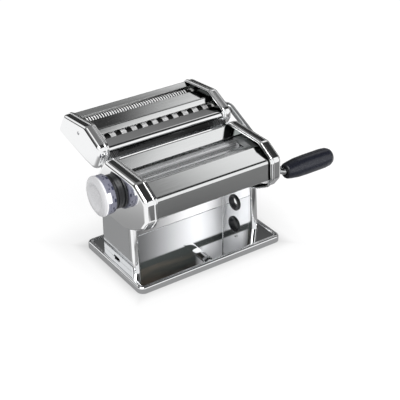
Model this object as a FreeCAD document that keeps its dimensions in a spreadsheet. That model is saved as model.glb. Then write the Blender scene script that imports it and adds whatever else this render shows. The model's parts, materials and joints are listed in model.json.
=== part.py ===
import FreeCAD, Part
import Sketcher
import math
import os

# Pasta roller machine: a sheeting head on a pedestal, with a lift-off cutter head behind it.
# Row frame: +X runs along the rollers (regulator knob at -X, crank at +X), the front faces -Y,
# +Z is up, and the origin is the centre of the footprint on the table. Millimetres.

V = FreeCAD.Vector
doc = FreeCAD.newDocument("PastaRollerMachine")
sheet = doc.addObject("Spreadsheet::Sheet", "Dims")
nodes = []

DIMENSIONS = [
    # name, value, what it sets
    ("gauge", 1.2, "pressed sheet of the base and the cheeks"),
    ("strip_gauge", 1.0, "folded sheet of the plates between the cheeks"),
    ("fold", 1.6, "fold in the strip, at its middle line"),
    ("soft_fold", 4.5, "wide fold at the front of a head"),
    ("running", 0.05, "radial clearance of a running fit"),
    ("seat", 0.3, "gap between neighbours that do not touch"),
    ("base_margin", 7.0, "base beyond the cheeks, each side"),
    ("base_depth", 122.4, "base front to rear"),
    ("base_corner", 8.0, "plan radius of the base corners"),
    ("base_rim", 9.0, "height of the rolled rim"),
    ("base_top", 7.4, "height of the flat top"),
    ("base_lift", 0.9, "height of the skirt's lower edge"),
    ("rim_width", 5.5, "width of the rolled rim"),
    ("foot_size", 19.0, "side of a rubber foot"),
    ("tunnel_x", -3.0, "clamp tunnel from the middle, along the rollers"),
    ("tunnel_width", 12.0, "clamp tunnel across"),
    ("tunnel_rise", 5.0, "clamp tunnel above the flat top"),
    ("tunnel_inset", 6.2, "clamp tunnel's front end, behind the base's edge"),
    ("tunnel_rear", 10.0, "clamp tunnel's rear end, ahead of the middle"),
    ("tab_length", 10.0, "tab of a frame plate in the base"),
    ("cheek_depth", 12.0, "depth of a cheek's flange"),
    ("cheek_crown", 3.6, "rounding of a cheek's outer edge"),
    ("cheek_corner", 4.5, "corners of a main cheek"),
    ("cutter_corner", 4.0, "corners of a cutter cheek"),
    ("bead_width", 2.2, "rolled bead on a cheek's inner edge"),
    ("bead_proud", 0.9, "bead above the flange"),
    ("head_crest", 15.5, "main cheeks above the adjustable roller"),
    ("head_belly", 21.5, "main cheeks below the adjustable roller"),
    ("head_nose", 26.8, "main cheeks ahead of the fixed roller"),
    ("head_tail", 22.0, "main cheeks behind the adjustable roller"),
    ("end_space", 7.8, "end of a roller to its frame plate"),
    ("plate_gauge", 2.0, "frame plate thickness"),
    ("gear_space", 0.4, "frame plate to gear"),
    ("gear_room", 6.2, "frame plate to the cheek's outer face"),
    ("cover_space", 2.2, "frame plate to the pedestal cover's outer face"),
    ("column_width", 9.0, "front column of a pedestal cover, along the rollers"),
    ("column_round", 4.3, "rounding of the front column"),
    ("column_lean", 5.6, "how far the column leans back over its height"),
    ("wall_front", 31.8, "foot of the front column, ahead of the middle"),
    ("wall_tuck", 1.6, "rear of the pedestal, ahead of the main cheeks' rear"),
    ("lug_hole", 8.8, "radius of the motor lug hole"),
    ("lug_wall", 1.8, "wall of the motor lug's bush"),
    ("lug_y", 12.0, "motor lug hole, behind the middle"),
    ("lug_z", 23.0, "motor lug hole, above the table"),
    ("roller_length", 150.0, "working width of the rollers"),
    ("roller_radius", 14.0, "sheeting rollers"),
    ("roller_gap", 0.4, "thinnest setting"),
    ("gap_travel", 4.2, "opening of the gap over the regulator's range"),
    ("roller_behind", 3.0, "adjustable roller's axis, behind the middle"),
    ("roller_height", 100.5, "adjustable roller's axis, above the table"),
    ("roller_tilt", 6.9, "slope of the line through both roller axes, in degrees"),
    ("journal", 6.0, "journal radius"),
    ("stub_step", 2.0, "step down to a journal's reduced end"),
    ("socket_depth", 14.0, "depth of the crank sockets"),
    ("socket_inset", 0.4, "driven journal's end inside the cheek's outer face"),
    ("bush_wall", 1.2, "wall of a bush"),
    ("bush_lip", 0.7, "flange of a bush beyond its barrel"),
    ("bush_rim", 1.5, "thickness of a bush's flange"),
    ("bush_gap", 0.4, "between the flanges of the wide pair's bushes"),
    ("roller_teeth", 14, "teeth of the sheeting gears"),
    ("cutter_teeth", 14, "teeth of the cutter gears"),
    ("gear_width", 4.0, "face width of the gears"),
    ("cutter_rise", 24.5, "cutter cheeks above the main cheeks"),
    ("cutter_lap", 9.0, "cutter cheeks' front, ahead of the main cheeks' rear"),
    ("wall_gap", 0.415, "wide discs to the cutter head's front wall"),
    ("wide_cover", 16.4, "cutter cheeks above the wide discs"),
    ("wide_under", 12.2, "cutter cheeks below the wide discs"),
    ("wide_bite", 1.2, "how far the wide discs reach past each other"),
    ("disc_floor", 0.3, "tip of a disc to its mate's core"),
    ("wide_ribbon", 7.05, "width of a wide ribbon"),
    ("disc_clearance", 0.15, "side clearance between meshing discs"),
    ("pair_space", 8.2, "between the wide discs and the fine rollers"),
    ("fine_spread", 1.4, "fine axes further apart than the wide ones"),
    ("fine_gap", 0.4, "between the two fine rollers"),
    ("fine_inset", 12.6, "fine rollers ahead of the cutter cheeks' rear"),
    ("fine_cover", 13.5, "cutter cheeks above the fine rollers"),
    ("rail_inset", 7.0, "slide rails from the cheeks' inner edge"),
    ("rail_lean", 35.2, "slide rails from upright, in degrees"),
    ("rail_width", 9.0, "head of a slide rail, across"),
    ("rail_stem", 3.0, "stem of a slide rail, across"),
    ("rail_out", 7.2, "slide rail out from the rear panel"),
    ("channel_low", 7.0, "cutter head's front wall: its lower edge along the rails"),
    ("channel_high", 24.0, "upper end of the channels along the rails"),
    ("channel_wall", 1.5, "wall of a channel"),
    ("front_wall", 11.8, "cutter head's front wall, out from the rails' plane"),
    ("knob_radius", 23.4, "regulator cap"),
    ("dial_radius", 22.2, "regulator dial"),
    ("collar_radius", 20.0, "regulator collar"),
    ("collar_length", 7.5, "collar out of the cheek"),
    ("dial_length", 7.4, "dial along its axis"),
    ("cap_length", 7.6, "cap along its axis"),
    ("spindle", 8.0, "regulator spindle in the collar"),
    ("spindle_nose", 5.0, "regulator spindle inside the knob"),
    ("rod", 4.0, "crank rod radius"),
    ("crank_offset", 16.5, "crank arm out from the cheek"),
    ("crank_arm", 116.3, "crank arm between its axes"),
    ("crank_drop", 23.8, "crank arm below level, in degrees"),
    ("crank_bend", 7.5, "bend radius of the crank rod"),
    ("grip_offset", 5.7, "inner end of the grip from the crank arm"),
    ("grip_length", 69.0, "grip along its axis"),
    ("grip_radius", 12.0, "grip at its widest"),
    ("tie_radius", 3.0, "tie rod radius"),
]

DERIVED = [
    # name, formula, what it sets
    ("plate_face", "roller_length / 2 + end_space", "inner face of the frame plates"),
    ("plate_back", "plate_face + plate_gauge", "outer face of the frame plates"),
    ("cheek_face", "plate_back + gear_room", "outer face of the cheeks"),
    ("wall_face", "plate_back + cover_space", "outer face of the pedestal covers"),
    ("gear_plane", "plate_back + gear_space", "inner face of the gears"),
    ("drive_end", "cheek_face - socket_inset", "right end of a driven journal"),
    ("base_width", "2 * (cheek_face + base_margin)", "base along the rollers"),
    ("tunnel_front", "base_depth / 2 - tunnel_inset", "clamp tunnel's front end"),
    ("rail_x", "cheek_face - cheek_depth - rail_inset", "slide rails from the middle"),
    ("centre_distance", "2 * roller_radius + roller_gap", "between the sheeting axes"),
    ("front_y", "roller_behind - centre_distance * cos(roller_tilt * 1 deg)", "fixed roller's axis"),
    ("front_z", "roller_height + centre_distance * sin(roller_tilt * 1 deg)", "fixed roller's axis"),
    ("cheek_nose", "roller_radius + head_nose - front_y", "nose of the main cheeks"),
    ("cheek_top", "roller_height + roller_radius + head_crest", "top of the main cheeks"),
    ("seam_height", "roller_height - roller_radius - head_belly", "lower edge of the main cheeks"),
    ("head_rear", "roller_behind + roller_radius + head_tail", "rear of the main cheeks"),
    ("wall_rear", "head_rear - wall_tuck", "rear of the pedestal"),
    ("stub", "journal - stub_step", "radius of a journal's reduced end"),
    ("socket", "rod + running", "radius of the crank sockets"),
    ("bush_barrel", "journal + bush_wall", "bush outside radius"),
    ("bush_flange", "bush_barrel + bush_lip", "bush flange radius"),
    ("cutter_top", "cheek_top + cutter_rise", "top of the cutter cheeks"),
    ("cutter_front", "head_rear - cutter_lap", "front of the cutter cheeks"),
    ("wide_spacing", "2 * bush_flange + bush_gap", "between the wide cutter's axes"),
    ("wide_radius", "(wide_spacing + wide_bite) / 2", "wide cutter's discs"),
    ("wide_core", "wide_spacing - wide_radius - disc_floor", "wide cutter's core"),
    ("fine_spacing", "wide_spacing + fine_spread", "between the fine cutter's axes"),
    ("fine_radius", "(fine_spacing - fine_gap) / 2", "fine cutter's rollers"),
    ("wide_height", "cutter_top - wide_cover - wide_radius", "wide cutter's axes"),
    ("cutter_bottom", "wide_height - wide_radius - wide_under", "bottom of the cutter cheeks"),
    ("slide_y", "wall_rear - 1.1", "foot of the slide's grid, on the rear panel"),
    ("slide_z", "cheek_top - 24", "foot of the slide's grid, on the rear panel"),
    ("wide_out", "front_wall + strip_gauge / 2 + wall_gap + wide_radius",
     "front wide axis, out from the rails' plane"),
    ("wide_front_y", "slide_y + (wide_out - (wide_height - slide_z) * sin(rail_lean * 1 deg))"
     " / cos(rail_lean * 1 deg)", "front wide axis"),
    ("wide_nip", "wide_front_y + wide_spacing / 2", "wide nip"),
    ("fine_nip", "wide_nip + wide_spacing / 2 + wide_radius + pair_space + fine_radius"
     " + fine_spacing / 2", "fine nip"),
    ("cutter_rear", "fine_nip + fine_spacing / 2 + fine_radius + fine_inset",
     "rear tip of the cutter cheeks"),
    ("fine_height", "cutter_top - fine_cover - fine_radius", "fine cutter's axes"),
    ("wide_discs", "floor((roller_length - wide_ribbon) / (2 * wide_ribbon)) + 1",
     "discs on the driven wide cutter"),
    ("crank_plane", "cheek_face + crank_offset", "crank arm from the middle"),
    ("grip_start", "crank_plane + grip_offset", "inner end of the grip"),
]


class Size:
    """A length that knows both its value and the sheet expression that it comes from."""

    def __init__(self, text, value):
        self.text = text
        self.value = value

    def __add__(self, other):
        other = size(other)
        return Size(f"({self.text} + {other.text})", self.value + other.value)

    def __sub__(self, other):
        other = size(other)
        return Size(f"({self.text} - {other.text})", self.value - other.value)

    def __mul__(self, other):
        other = size(other)
        return Size(f"({self.text} * {other.text})", self.value * other.value)

    def __truediv__(self, other):
        other = size(other)
        return Size(f"({self.text} / {other.text})", self.value / other.value)

    def __radd__(self, other):
        return size(other) + self

    def __rsub__(self, other):
        return size(other) - self

    def __rmul__(self, other):
        return size(other) * self

    def __neg__(self):
        return Size(f"(0 - {self.text})", -self.value)


def size(number):
    return number if isinstance(number, Size) else Size(repr(float(number)), float(number))


def cosine(angle):
    return Size(f"cos({angle.text} * 1 deg)", math.cos(math.radians(angle.value)))


def sine(angle):
    return Size(f"sin({angle.text} * 1 deg)", math.sin(math.radians(angle.value)))


class Dims:
    pass


dims = Dims()
rows = [(alias, str(number), meaning) for alias, number, meaning in DIMENSIONS]
rows += [(alias, f"={formula}", meaning) for alias, formula, meaning in DERIVED]
for row, (alias, content, meaning) in enumerate(rows, 1):
    sheet.set(f"A{row}", alias)
    sheet.set(f"B{row}", content)
    sheet.setAlias(f"B{row}", alias)
    sheet.set(f"C{row}", meaning)
doc.recompute()
for alias, content, meaning in rows:
    found = sheet.get(alias)
    setattr(dims, alias, Size(f"Dims.{alias}", float(getattr(found, "Value", found))))


def bind(thing, path, length):
    thing.setExpression(path, size(length).text)


def new_body(name):
    body = doc.addObject("PartDesign::Body", name)
    body.Label = name
    nodes.append(body)
    return body


def place(body, y=0.0, z=0.0, turn=None):
    """Move a body made about the X axis to the axis at (y, z), turned about X."""
    bind(body, "Placement.Base.y", y)
    bind(body, "Placement.Base.z", z)
    if turn is not None:
        body.Placement = FreeCAD.Placement(V(), FreeCAD.Rotation(V(1, 0, 0), turn.value))
        bind(body, "Placement.Rotation.Angle", turn)
    return body


def origin_item(body, role):
    """A body's own origin plane or axis."""
    return [item for item in body.Origin.OriginFeatures if item.Role == role][0]


def new_sketch(body, role, shift=0.0):
    sketch = body.newObject("Sketcher::SketchObject", "Sketch")
    sketch.AttachmentSupport = [(origin_item(body, role), "")]
    sketch.MapMode = "FlatFace"
    bind(sketch, "AttachmentOffset.Base.z", shift)
    return sketch


def pin_point(sketch, edge, end, x, y):
    """Fix one end of a sketch edge at (x, y), both bound to the sheet."""
    for kind, along in (("DistanceX", size(x)), ("DistanceY", size(y))):
        index = sketch.addConstraint(Sketcher.Constraint(kind, -1, 1, edge, end, along.value))
        bind(sketch, f"Constraints[{index}]", along)


def draw_lines(sketch, points, closed=True):
    """Straight edges through the points, each point bound to the sheet."""
    spots = [V(size(x).value, size(y).value, 0) for x, y in points]
    count = len(spots) if closed else len(spots) - 1
    first = sketch.GeometryCount
    for i in range(count):
        sketch.addGeometry(Part.LineSegment(spots[i], spots[(i + 1) % len(spots)]), False)
    for i in range(count if closed else count - 1):
        follower = first + (i + 1) % count
        sketch.addConstraint(Sketcher.Constraint("Coincident", first + i, 2, follower, 1))
    for i in range(count):
        pin_point(sketch, first + i, 1, *points[i])
    if not closed:
        pin_point(sketch, first + count - 1, 2, *points[-1])
    return sketch


def draw_circle(sketch, x, y, radius):
    centre = V(size(x).value, size(y).value, 0)
    index = sketch.addGeometry(Part.Circle(centre, V(0, 0, 1), size(radius).value), False)
    pin_point(sketch, index, 3, x, y)
    circle = sketch.addConstraint(Sketcher.Constraint("Radius", index, size(radius).value))
    bind(sketch, f"Constraints[{circle}]", radius)


def pad(body, sketch, length, reverse=False):
    feature = body.newObject("PartDesign::Pad", "Pad")
    feature.Profile = sketch
    bind(feature, "Length", length)
    feature.Reversed = reverse
    doc.recompute()
    return feature


def pocket(body, sketch, length, reverse=False):
    """Cut a sketch's outline; it has to remove material."""
    before = body.Tip.Shape.Volume
    feature = body.newObject("PartDesign::Pocket", "Pocket")
    feature.Profile = sketch
    bind(feature, "Length", length)
    feature.Reversed = reverse
    doc.recompute()
    if not feature.Shape.Volume < before - 1e-6:
        raise RuntimeError(f"{body.Label}: a pocket cuts nothing")
    return feature


def edge_names(shape, keep):
    return [f"Edge{i}" for i, edge in enumerate(shape.Edges, 1) if keep(edge)]


def fillet(body, radius, keep):
    base = body.Tip
    feature = body.newObject("PartDesign::Fillet", "Fillet")
    feature.Base = (base, edge_names(base.Shape, keep))
    bind(feature, "Radius", radius)
    doc.recompute()
    return feature


def along_x(edge, y=None, z=None, slack=0.01):
    """Whether a straight edge runs along X, at (y, z) where they are given."""
    ends = [vertex.Point for vertex in edge.Vertexes]
    if len(ends) != 2 or (ends[0] - ends[1]).cross(V(1, 0, 0)).Length > slack:
        return False
    near_y = y is None or abs(ends[0].y - size(y).value) < slack
    return near_y and (z is None or abs(ends[0].z - size(z).value) < slack)


def in_plane_x(item, x, slack=0.01):
    box = item.BoundBox
    return abs(box.XMin - size(x).value) < slack and abs(box.XMax - size(x).value) < slack


def turned(name, profile, y=0.0, z=0.0):
    """A piece revolved about the X axis through (y, z), from (x, radius) points."""
    body = new_body(name)
    sketch = draw_lines(new_sketch(body, "XY_Plane"), profile)
    feature = body.newObject("PartDesign::Revolution", "Revolution")
    feature.Profile = sketch
    feature.ReferenceAxis = (sketch, ["H_Axis"])
    feature.Angle = 360
    doc.recompute()
    return place(body, y, z)


def slab(name, outline, inner, outer, side=1):
    """A flat plate between |X| = inner and outer, from an outline in Y and Z."""
    body = new_body(name)
    start = inner if side > 0 else -outer
    pad(body, draw_lines(new_sketch(body, "YZ_Plane", start), outline), size(outer) - inner)
    return body


def bore_x(body, holes, depth_from, depth):
    """Round holes along X through a body: holes are (y, z, radius)."""
    sketch = new_sketch(body, "YZ_Plane", depth_from)
    for y, z, radius in holes:
        draw_circle(sketch, y, z, radius)
    return pocket(body, sketch, depth, reverse=True)


def draw_route(sketch, path):
    """An open line of straight runs joined by tangent folds: (y, z) or (y, z, fold) points."""
    corners = [(size(point[0]), size(point[1])) for point in path]
    folds = [size(point[2]) if len(point) > 2 else dims.fold for point in path]
    spots = [V(y.value, z.value, 0) for y, z in corners]
    starts = [corners[0]]
    ends = []
    bends = []
    for i in range(1, len(path) - 1):
        back = spots[i - 1] - spots[i]
        ahead = spots[i + 1] - spots[i]
        half_turn = (math.pi - back.getAngle(ahead)) / 2
        room = 0.48 * min(back.Length, ahead.Length) / math.tan(half_turn)
        radius = folds[i] if folds[i].value < room else size(room)
        back.normalize()
        ahead.normalize()
        cut = radius * math.tan(half_turn)
        y, z = corners[i]
        ends.append((y + cut * back.x, z + cut * back.y))
        starts.append((y + cut * ahead.x, z + cut * ahead.y))
        inward = (back + ahead).normalize() * (radius.value / math.cos(half_turn))
        bends.append((spots[i] + inward, radius))
    ends.append(corners[-1])
    count = len(starts)
    for start, end in zip(starts, ends):
        run = [V(y.value, z.value, 0) for y, z in (start, end)]
        sketch.addGeometry(Part.LineSegment(*run), False)
    for i, (centre, radius) in enumerate(bends):
        one = V(ends[i][0].value, ends[i][1].value, 0) - centre
        other = V(starts[i + 1][0].value, starts[i + 1][1].value, 0) - centre
        middle = centre + (one + other).normalize() * radius.value
        sketch.addGeometry(Part.Arc(centre + one, middle, centre + other), False)
        arc = sketch.Geometry[count + i]
        backwards = (arc.StartPoint - (centre + one)).Length > 1e-4
        first, last = (2, 1) if backwards else (1, 2)
        sketch.addConstraint(Sketcher.Constraint("Coincident", i, 2, count + i, first))
        sketch.addConstraint(Sketcher.Constraint("Coincident", i + 1, 1, count + i, last))
    for i in range(count):
        pin_point(sketch, i, 1, *starts[i])
        pin_point(sketch, i, 2, *ends[i])
    for i, (centre, radius) in enumerate(bends):
        held = Sketcher.Constraint("Radius", count + i, radius.value)
        index = sketch.addConstraint(held)
        bind(sketch, f"Constraints[{index}]", radius)


def folded_sheet(name, path, half_length):
    """A folded strip with rolled edges: an open path in Y and Z, thickened and run along X."""
    route = doc.addObject("Sketcher::SketchObject", f"{name}_path")
    turn = FreeCAD.Rotation(V(0, 1, 0), V(0, 0, 1), V(1, 0, 0), "ZXY")
    route.Placement = FreeCAD.Placement(V(), turn)
    draw_route(route, path)
    thick = doc.addObject("Part::Offset2D", f"{name}_section")
    thick.Source = route
    thick.Mode = "Pipe"
    thick.Join = "Arc"
    thick.Fill = True
    bind(thick, "Value", dims.strip_gauge / 2)
    strip = doc.addObject("Part::Extrusion", name)
    strip.Label = name
    strip.Base = thick
    strip.DirMode = "Custom"
    strip.Dir = V(1, 0, 0)
    strip.Solid = True
    bind(strip, "LengthFwd", half_length)
    bind(strip, "LengthRev", half_length)
    doc.recompute()
    nodes.append(strip)
    return strip


def group(name, members):
    """Several separate solids of one kind in one node."""
    whole = doc.addObject("Part::Compound", name)
    whole.Label = name
    whole.Links = members
    for member in members:
        nodes.remove(member)
    nodes.append(whole)
    return whole


# Derived places, all from the sheet.
SIDES = (("left", -1), ("right", 1))
plate_back = dims.plate_back
front_axis = (dims.front_y, dims.front_z)
rear_axis = (dims.roller_behind, dims.roller_height)
wide_rear = (dims.wide_nip + dims.wide_spacing / 2, dims.wide_height)
wide_front = (dims.wide_nip - dims.wide_spacing / 2, dims.wide_height)
fine_rear = (dims.fine_nip + dims.fine_spacing / 2, dims.fine_height)
fine_front = (dims.fine_nip - dims.fine_spacing / 2, dims.fine_height)
nose = -dims.cheek_nose
top = dims.cheek_top
cut_top = dims.cutter_top
cut_front = dims.cutter_front
cut_rear = dims.cutter_rear
wide_mid = dims.wide_nip
fine_mid = dims.fine_nip
cut_low = dims.cutter_bottom
fine_level = dims.fine_height
fine_low = dims.fine_height - dims.fine_radius
seam = dims.seam_height
tab_places = (18 - dims.wall_front, dims.wall_rear - 14)
tab_half = dims.tab_length / 2

MAIN_CHEEK = [
    (dims.head_rear - 17, top), (nose + 24.5, top), (nose + 1.5, top - 12.8),
    (nose, top - 38), (nose + 9, seam + 15), (nose + 26, seam + 5), (nose + 50, seam - 5),
    (dims.head_rear, seam - 5), (dims.head_rear, top - 24),
]
MAIN_PLATE = [
    (dims.head_rear - 19, top - 2.6), (nose + 26, top - 2.6), (nose + 4.6, top - 14.6),
    (nose + 2.2, top - 38), (nose + 10.4, seam + 17.2),
    (nose + 28, seam + 7), (-dims.wall_front + 13, seam + 2),
    (-dims.wall_front + 9.2, dims.base_top), (dims.wall_rear - 0.8, dims.base_top),
    (dims.wall_rear - 0.8, top - 24.5),
]
CUTTER_CHEEK = [
    (cut_rear, fine_level - 5.4), (cut_rear - 13.5, cut_top - 5), (wide_mid + 7.9, cut_top),
    (cut_front + 1.2, cut_top - 14), (cut_front, cut_top - 24.5),
    (cut_front + 11, cut_low + 2), (cut_front + 17.5, cut_low),
    (cut_front + 34, cut_low + 1.6), (cut_rear - 3, fine_low - 1.8),
]
CUTTER_PLATE = [
    (cut_rear - 2.8, fine_level - 5.3), (cut_rear - 14.8, cut_top - 7.6),
    (wide_mid + 7.9, cut_top - 2.6), (cut_front + 3.6, cut_top - 15.8),
    (cut_front + 2.6, cut_top - 24), (cut_front + 12.8, cut_low + 3.6),
    (cut_front + 18, cut_low + 2.4), (cut_front + 34, cut_low + 4),
    (cut_rear - 5, fine_low - 0.1),
]


def arch(sketch, half, low, high):
    """The straight-sided section of the clamp tunnel, before its top is rounded."""
    left = dims.tunnel_x - half
    right = dims.tunnel_x + half
    draw_lines(sketch, [(left, low), (right, low), (right - 0.8, high), (left + 0.8, high)])


def crown_edges(body, height, radius):
    """Round the two long edges at the top of the clamp tunnel."""
    level = height.value

    def long_edge(edge):
        box = edge.BoundBox
        return abs(box.ZMin - level) < 0.01 and abs(box.ZMax - level) < 0.01 and box.XLength < 0.01

    fillet(body, radius, long_edge)


def make_base():
    """The pressed base tray with its rolled rim, clamp tunnel and slots for the frame tabs."""
    half_w = dims.base_width / 2
    half_d = dims.base_depth / 2
    body = new_body("base_plate")

    def frame(inset):
        return [(half_w - inset, half_d - inset), (inset - half_w, half_d - inset),
                (inset - half_w, inset - half_d), (half_w - inset, inset - half_d)]

    pad(body, draw_lines(new_sketch(body, "XY_Plane", dims.base_lift), frame(size(0))),
        dims.base_rim - dims.base_lift)
    fillet(body, dims.base_corner, lambda e: e.BoundBox.ZLength > 1 and e.BoundBox.XLength < 0.01)
    fillet(body, dims.rim_width / 2 - 0.1, lambda e: e.BoundBox.ZMin > dims.base_rim.value - 0.01)
    pocket(body, draw_lines(new_sketch(body, "XY_Plane", dims.base_rim), frame(dims.rim_width)),
           dims.base_rim - dims.base_top)
    rim_corner = dims.base_corner - dims.rim_width
    low = dims.base_top.value

    def rim_corner_edge(edge):
        box = edge.BoundBox
        return box.ZMin > low - 0.01 and box.ZLength > 0.5 and box.XLength < 0.01 \
            and box.YLength < 0.01

    fillet(body, rim_corner, rim_corner_edge)
    under = dims.base_top - dims.gauge
    pocket(body, draw_lines(new_sketch(body, "XY_Plane", dims.base_lift), frame(dims.gauge)),
           under - dims.base_lift, reverse=True)

    # Clamp tunnel: a half-round rib pressed up from the flat, open below.
    ridge = new_sketch(body, "XZ_Plane", dims.tunnel_rear)
    crest = dims.base_top + dims.tunnel_rise
    arch(ridge, dims.tunnel_width / 2, dims.base_top - 0.5, crest)
    pad(body, ridge, dims.tunnel_front - dims.tunnel_rear)
    crown_edges(body, crest, dims.tunnel_width / 2 - 2.0)
    groove = new_sketch(body, "XZ_Plane", dims.tunnel_rear + dims.gauge)
    inner = dims.tunnel_width / 2 - dims.gauge
    arch(groove, inner, under - 0.1, crest - dims.gauge)
    pocket(body, groove, dims.tunnel_front - dims.tunnel_rear - dims.gauge * 2, reverse=True)
    crown_edges(body, crest - dims.gauge, inner - 2.0)

    # Slots that take the tabs of the frame plates.
    slots = new_sketch(body, "XY_Plane", dims.base_top)
    for _, side in SIDES:
        for y in tab_places:
            near = (dims.plate_face - 0.1) * side
            far = (plate_back + 0.1) * side
            draw_lines(slots, [(near, y - tab_half - 0.1), (far, y - tab_half - 0.1),
                               (far, y + tab_half + 0.1), (near, y + tab_half + 0.1)])
    pocket(body, slots, dims.gauge)


def make_feet():
    """Four rubber pads in the corners of the tray."""
    across = dims.base_width / 2 - dims.gauge - dims.seat
    along = dims.base_depth / 2 - dims.gauge - dims.seat
    for side_name, side in SIDES:
        for end_name, end in (("front", -1), ("rear", 1)):
            body = new_body(f"foot_{end_name}_{side_name}")
            square = [(across * side, along * end),
                      ((across - dims.foot_size) * side, along * end),
                      ((across - dims.foot_size) * side, (along - dims.foot_size) * end),
                      (across * side, (along - dims.foot_size) * end)]
            pad(body, draw_lines(new_sketch(body, "XY_Plane"), square),
                dims.base_top - dims.gauge)
            corner_x = (across * side).value
            corner_y = (along * end).value

            def outer(edge):
                box = edge.BoundBox
                return box.ZLength > 1 and abs(box.XMin - corner_x) < 0.01 \
                    and abs(box.YMin - corner_y) < 0.01

            fillet(body, dims.base_corner - dims.gauge - dims.seat, outer)


def cheek_block(name, outline, depth, face, corner, crown):
    """A prism that faces -X at |X| = face, with rounded corners and a crowned face."""
    body = doc.addObject("PartDesign::Body", name)
    pad(body, draw_lines(new_sketch(body, "YZ_Plane", -face), outline), depth)
    fillet(body, corner, along_x)
    fillet(body, crown, lambda e: in_plane_x(e, -face))
    return body


def pressed_cheek(name, outline, corner, trim=None):
    """A left cheek: a shallow pressed tray, crowned outside and open towards the middle."""
    outside = cheek_block(f"{name}_outside", outline, dims.cheek_depth, dims.cheek_face,
                          corner, dims.cheek_crown)
    add_bead(outside, outline, corner)
    if trim is not None:
        waste = new_sketch(outside, "YZ_Plane", dims.cheek_depth - dims.cheek_face + 1.0)
        pocket(outside, draw_lines(waste, trim), dims.cheek_depth + 2.0)
    inside = cheek_block(f"{name}_inside", grown(outline, -dims.gauge), dims.cheek_depth,
                         dims.cheek_face - dims.gauge, corner - dims.gauge,
                         dims.cheek_crown - dims.gauge)
    pressing = doc.addObject("Part::Cut", name)
    pressing.Label = name
    pressing.Base = outside
    pressing.Tool = inside
    doc.recompute()
    return pressing


def opposite(name, source):
    """The same piece mirrored to the other end of the rollers."""
    mirror = doc.addObject("Part::Mirroring", name)
    mirror.Source = source
    mirror.Normal = V(1, 0, 0)
    doc.recompute()
    return mirror


def drilled(name, base, holes, side):
    """A cheek with round holes along X through its outer wall: holes are (y, z, radius)."""
    for index, (y, z, radius) in enumerate(holes, 1):
        last = index == len(holes)
        drill = doc.addObject("Part::Cylinder", f"{name}_drill_{index}")
        drill.Placement = FreeCAD.Placement(V(), FreeCAD.Rotation(V(0, 1, 0), 90))
        bind(drill, "Radius", radius)
        bind(drill, "Height", dims.gauge + 2.0)
        bind(drill, "Placement.Base.x", (dims.cheek_face - dims.gauge / 2) * side - dims.gauge / 2 - 1.0)
        bind(drill, "Placement.Base.y", y)
        bind(drill, "Placement.Base.z", z)
        cut = doc.addObject("Part::Cut", name if last else f"{name}_{index}")
        cut.Base = base
        cut.Tool = drill
        doc.recompute()
        base = cut
    base.Label = name
    nodes.append(base)


def add_bead(body, outline, corner):
    """The rolled bead round the inner edge of a cheek."""
    inner_x = dims.cheek_depth - dims.cheek_face
    bead_x = inner_x - dims.bead_width
    bead = grown(outline, dims.bead_proud)
    pad(body, draw_lines(new_sketch(body, "YZ_Plane", bead_x), bead), dims.bead_width)
    width = dims.bead_width.value
    fillet(body, corner + dims.bead_proud,
           lambda e: along_x(e) and abs(e.BoundBox.XLength - width) < 0.01)
    spots = [V(y.value, z.value, 0) for y, z in bead]
    ring = Part.makePolygon(spots + [spots[0]])
    near = dims.bead_proud.value * 0.7

    def rim_edge(edge):
        if not (in_plane_x(edge, inner_x) or in_plane_x(edge, bead_x)):
            return False
        middle = edge.valueAt((edge.FirstParameter + edge.LastParameter) / 2)
        return ring.distToShape(Part.Vertex(middle.y, middle.z, 0))[0] < near

    fillet(body, dims.bead_proud * 0.8, rim_edge)


def grown(outline, amount):
    """The outline moved outwards by an amount, mitred at its corners."""
    spots = [V(size(y).value, size(z).value, 0) for y, z in outline]
    count = len(spots)
    area = sum(spots[i - 1].x * spots[i].y - spots[i].x * spots[i - 1].y for i in range(count))
    turn = 1 if area > 0 else -1
    moved = []
    for i, spot in enumerate(spots):
        before = (spot - spots[i - 1]).normalize()
        after = (spots[(i + 1) % count] - spot).normalize()
        one = V(before.y, -before.x, 0) * turn
        other = V(after.y, -after.x, 0) * turn
        miter = (one + other) * (1 / (1 + one.dot(other)))
        moved.append((outline[i][0] + amount * miter.x, outline[i][1] + amount * miter.y))
    return moved


def make_main_cheeks():
    below = seam - 10
    past = dims.head_rear + 5
    trim = [(nose, below), (past, below), (past, seam), (nose, seam)]
    pressing = pressed_cheek("main_cheek_pressing", MAIN_CHEEK, dims.cheek_corner, trim)
    drilled("left_cheek", pressing, [(*rear_axis, dims.spindle + dims.running)], -1)
    drilled("right_cheek", opposite("main_cheek_mirror", pressing),
            [(*front_axis, dims.journal + 1.2)], 1)


def make_cutter_cheeks():
    pressing = pressed_cheek("cutter_left_cheek", CUTTER_CHEEK, dims.cutter_corner)
    nodes.append(pressing)
    clear = dims.journal + 1.2
    drilled("cutter_right_cheek", opposite("cutter_cheek_mirror", pressing),
            [(*wide_rear, clear), (*fine_front, clear)], 1)


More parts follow.
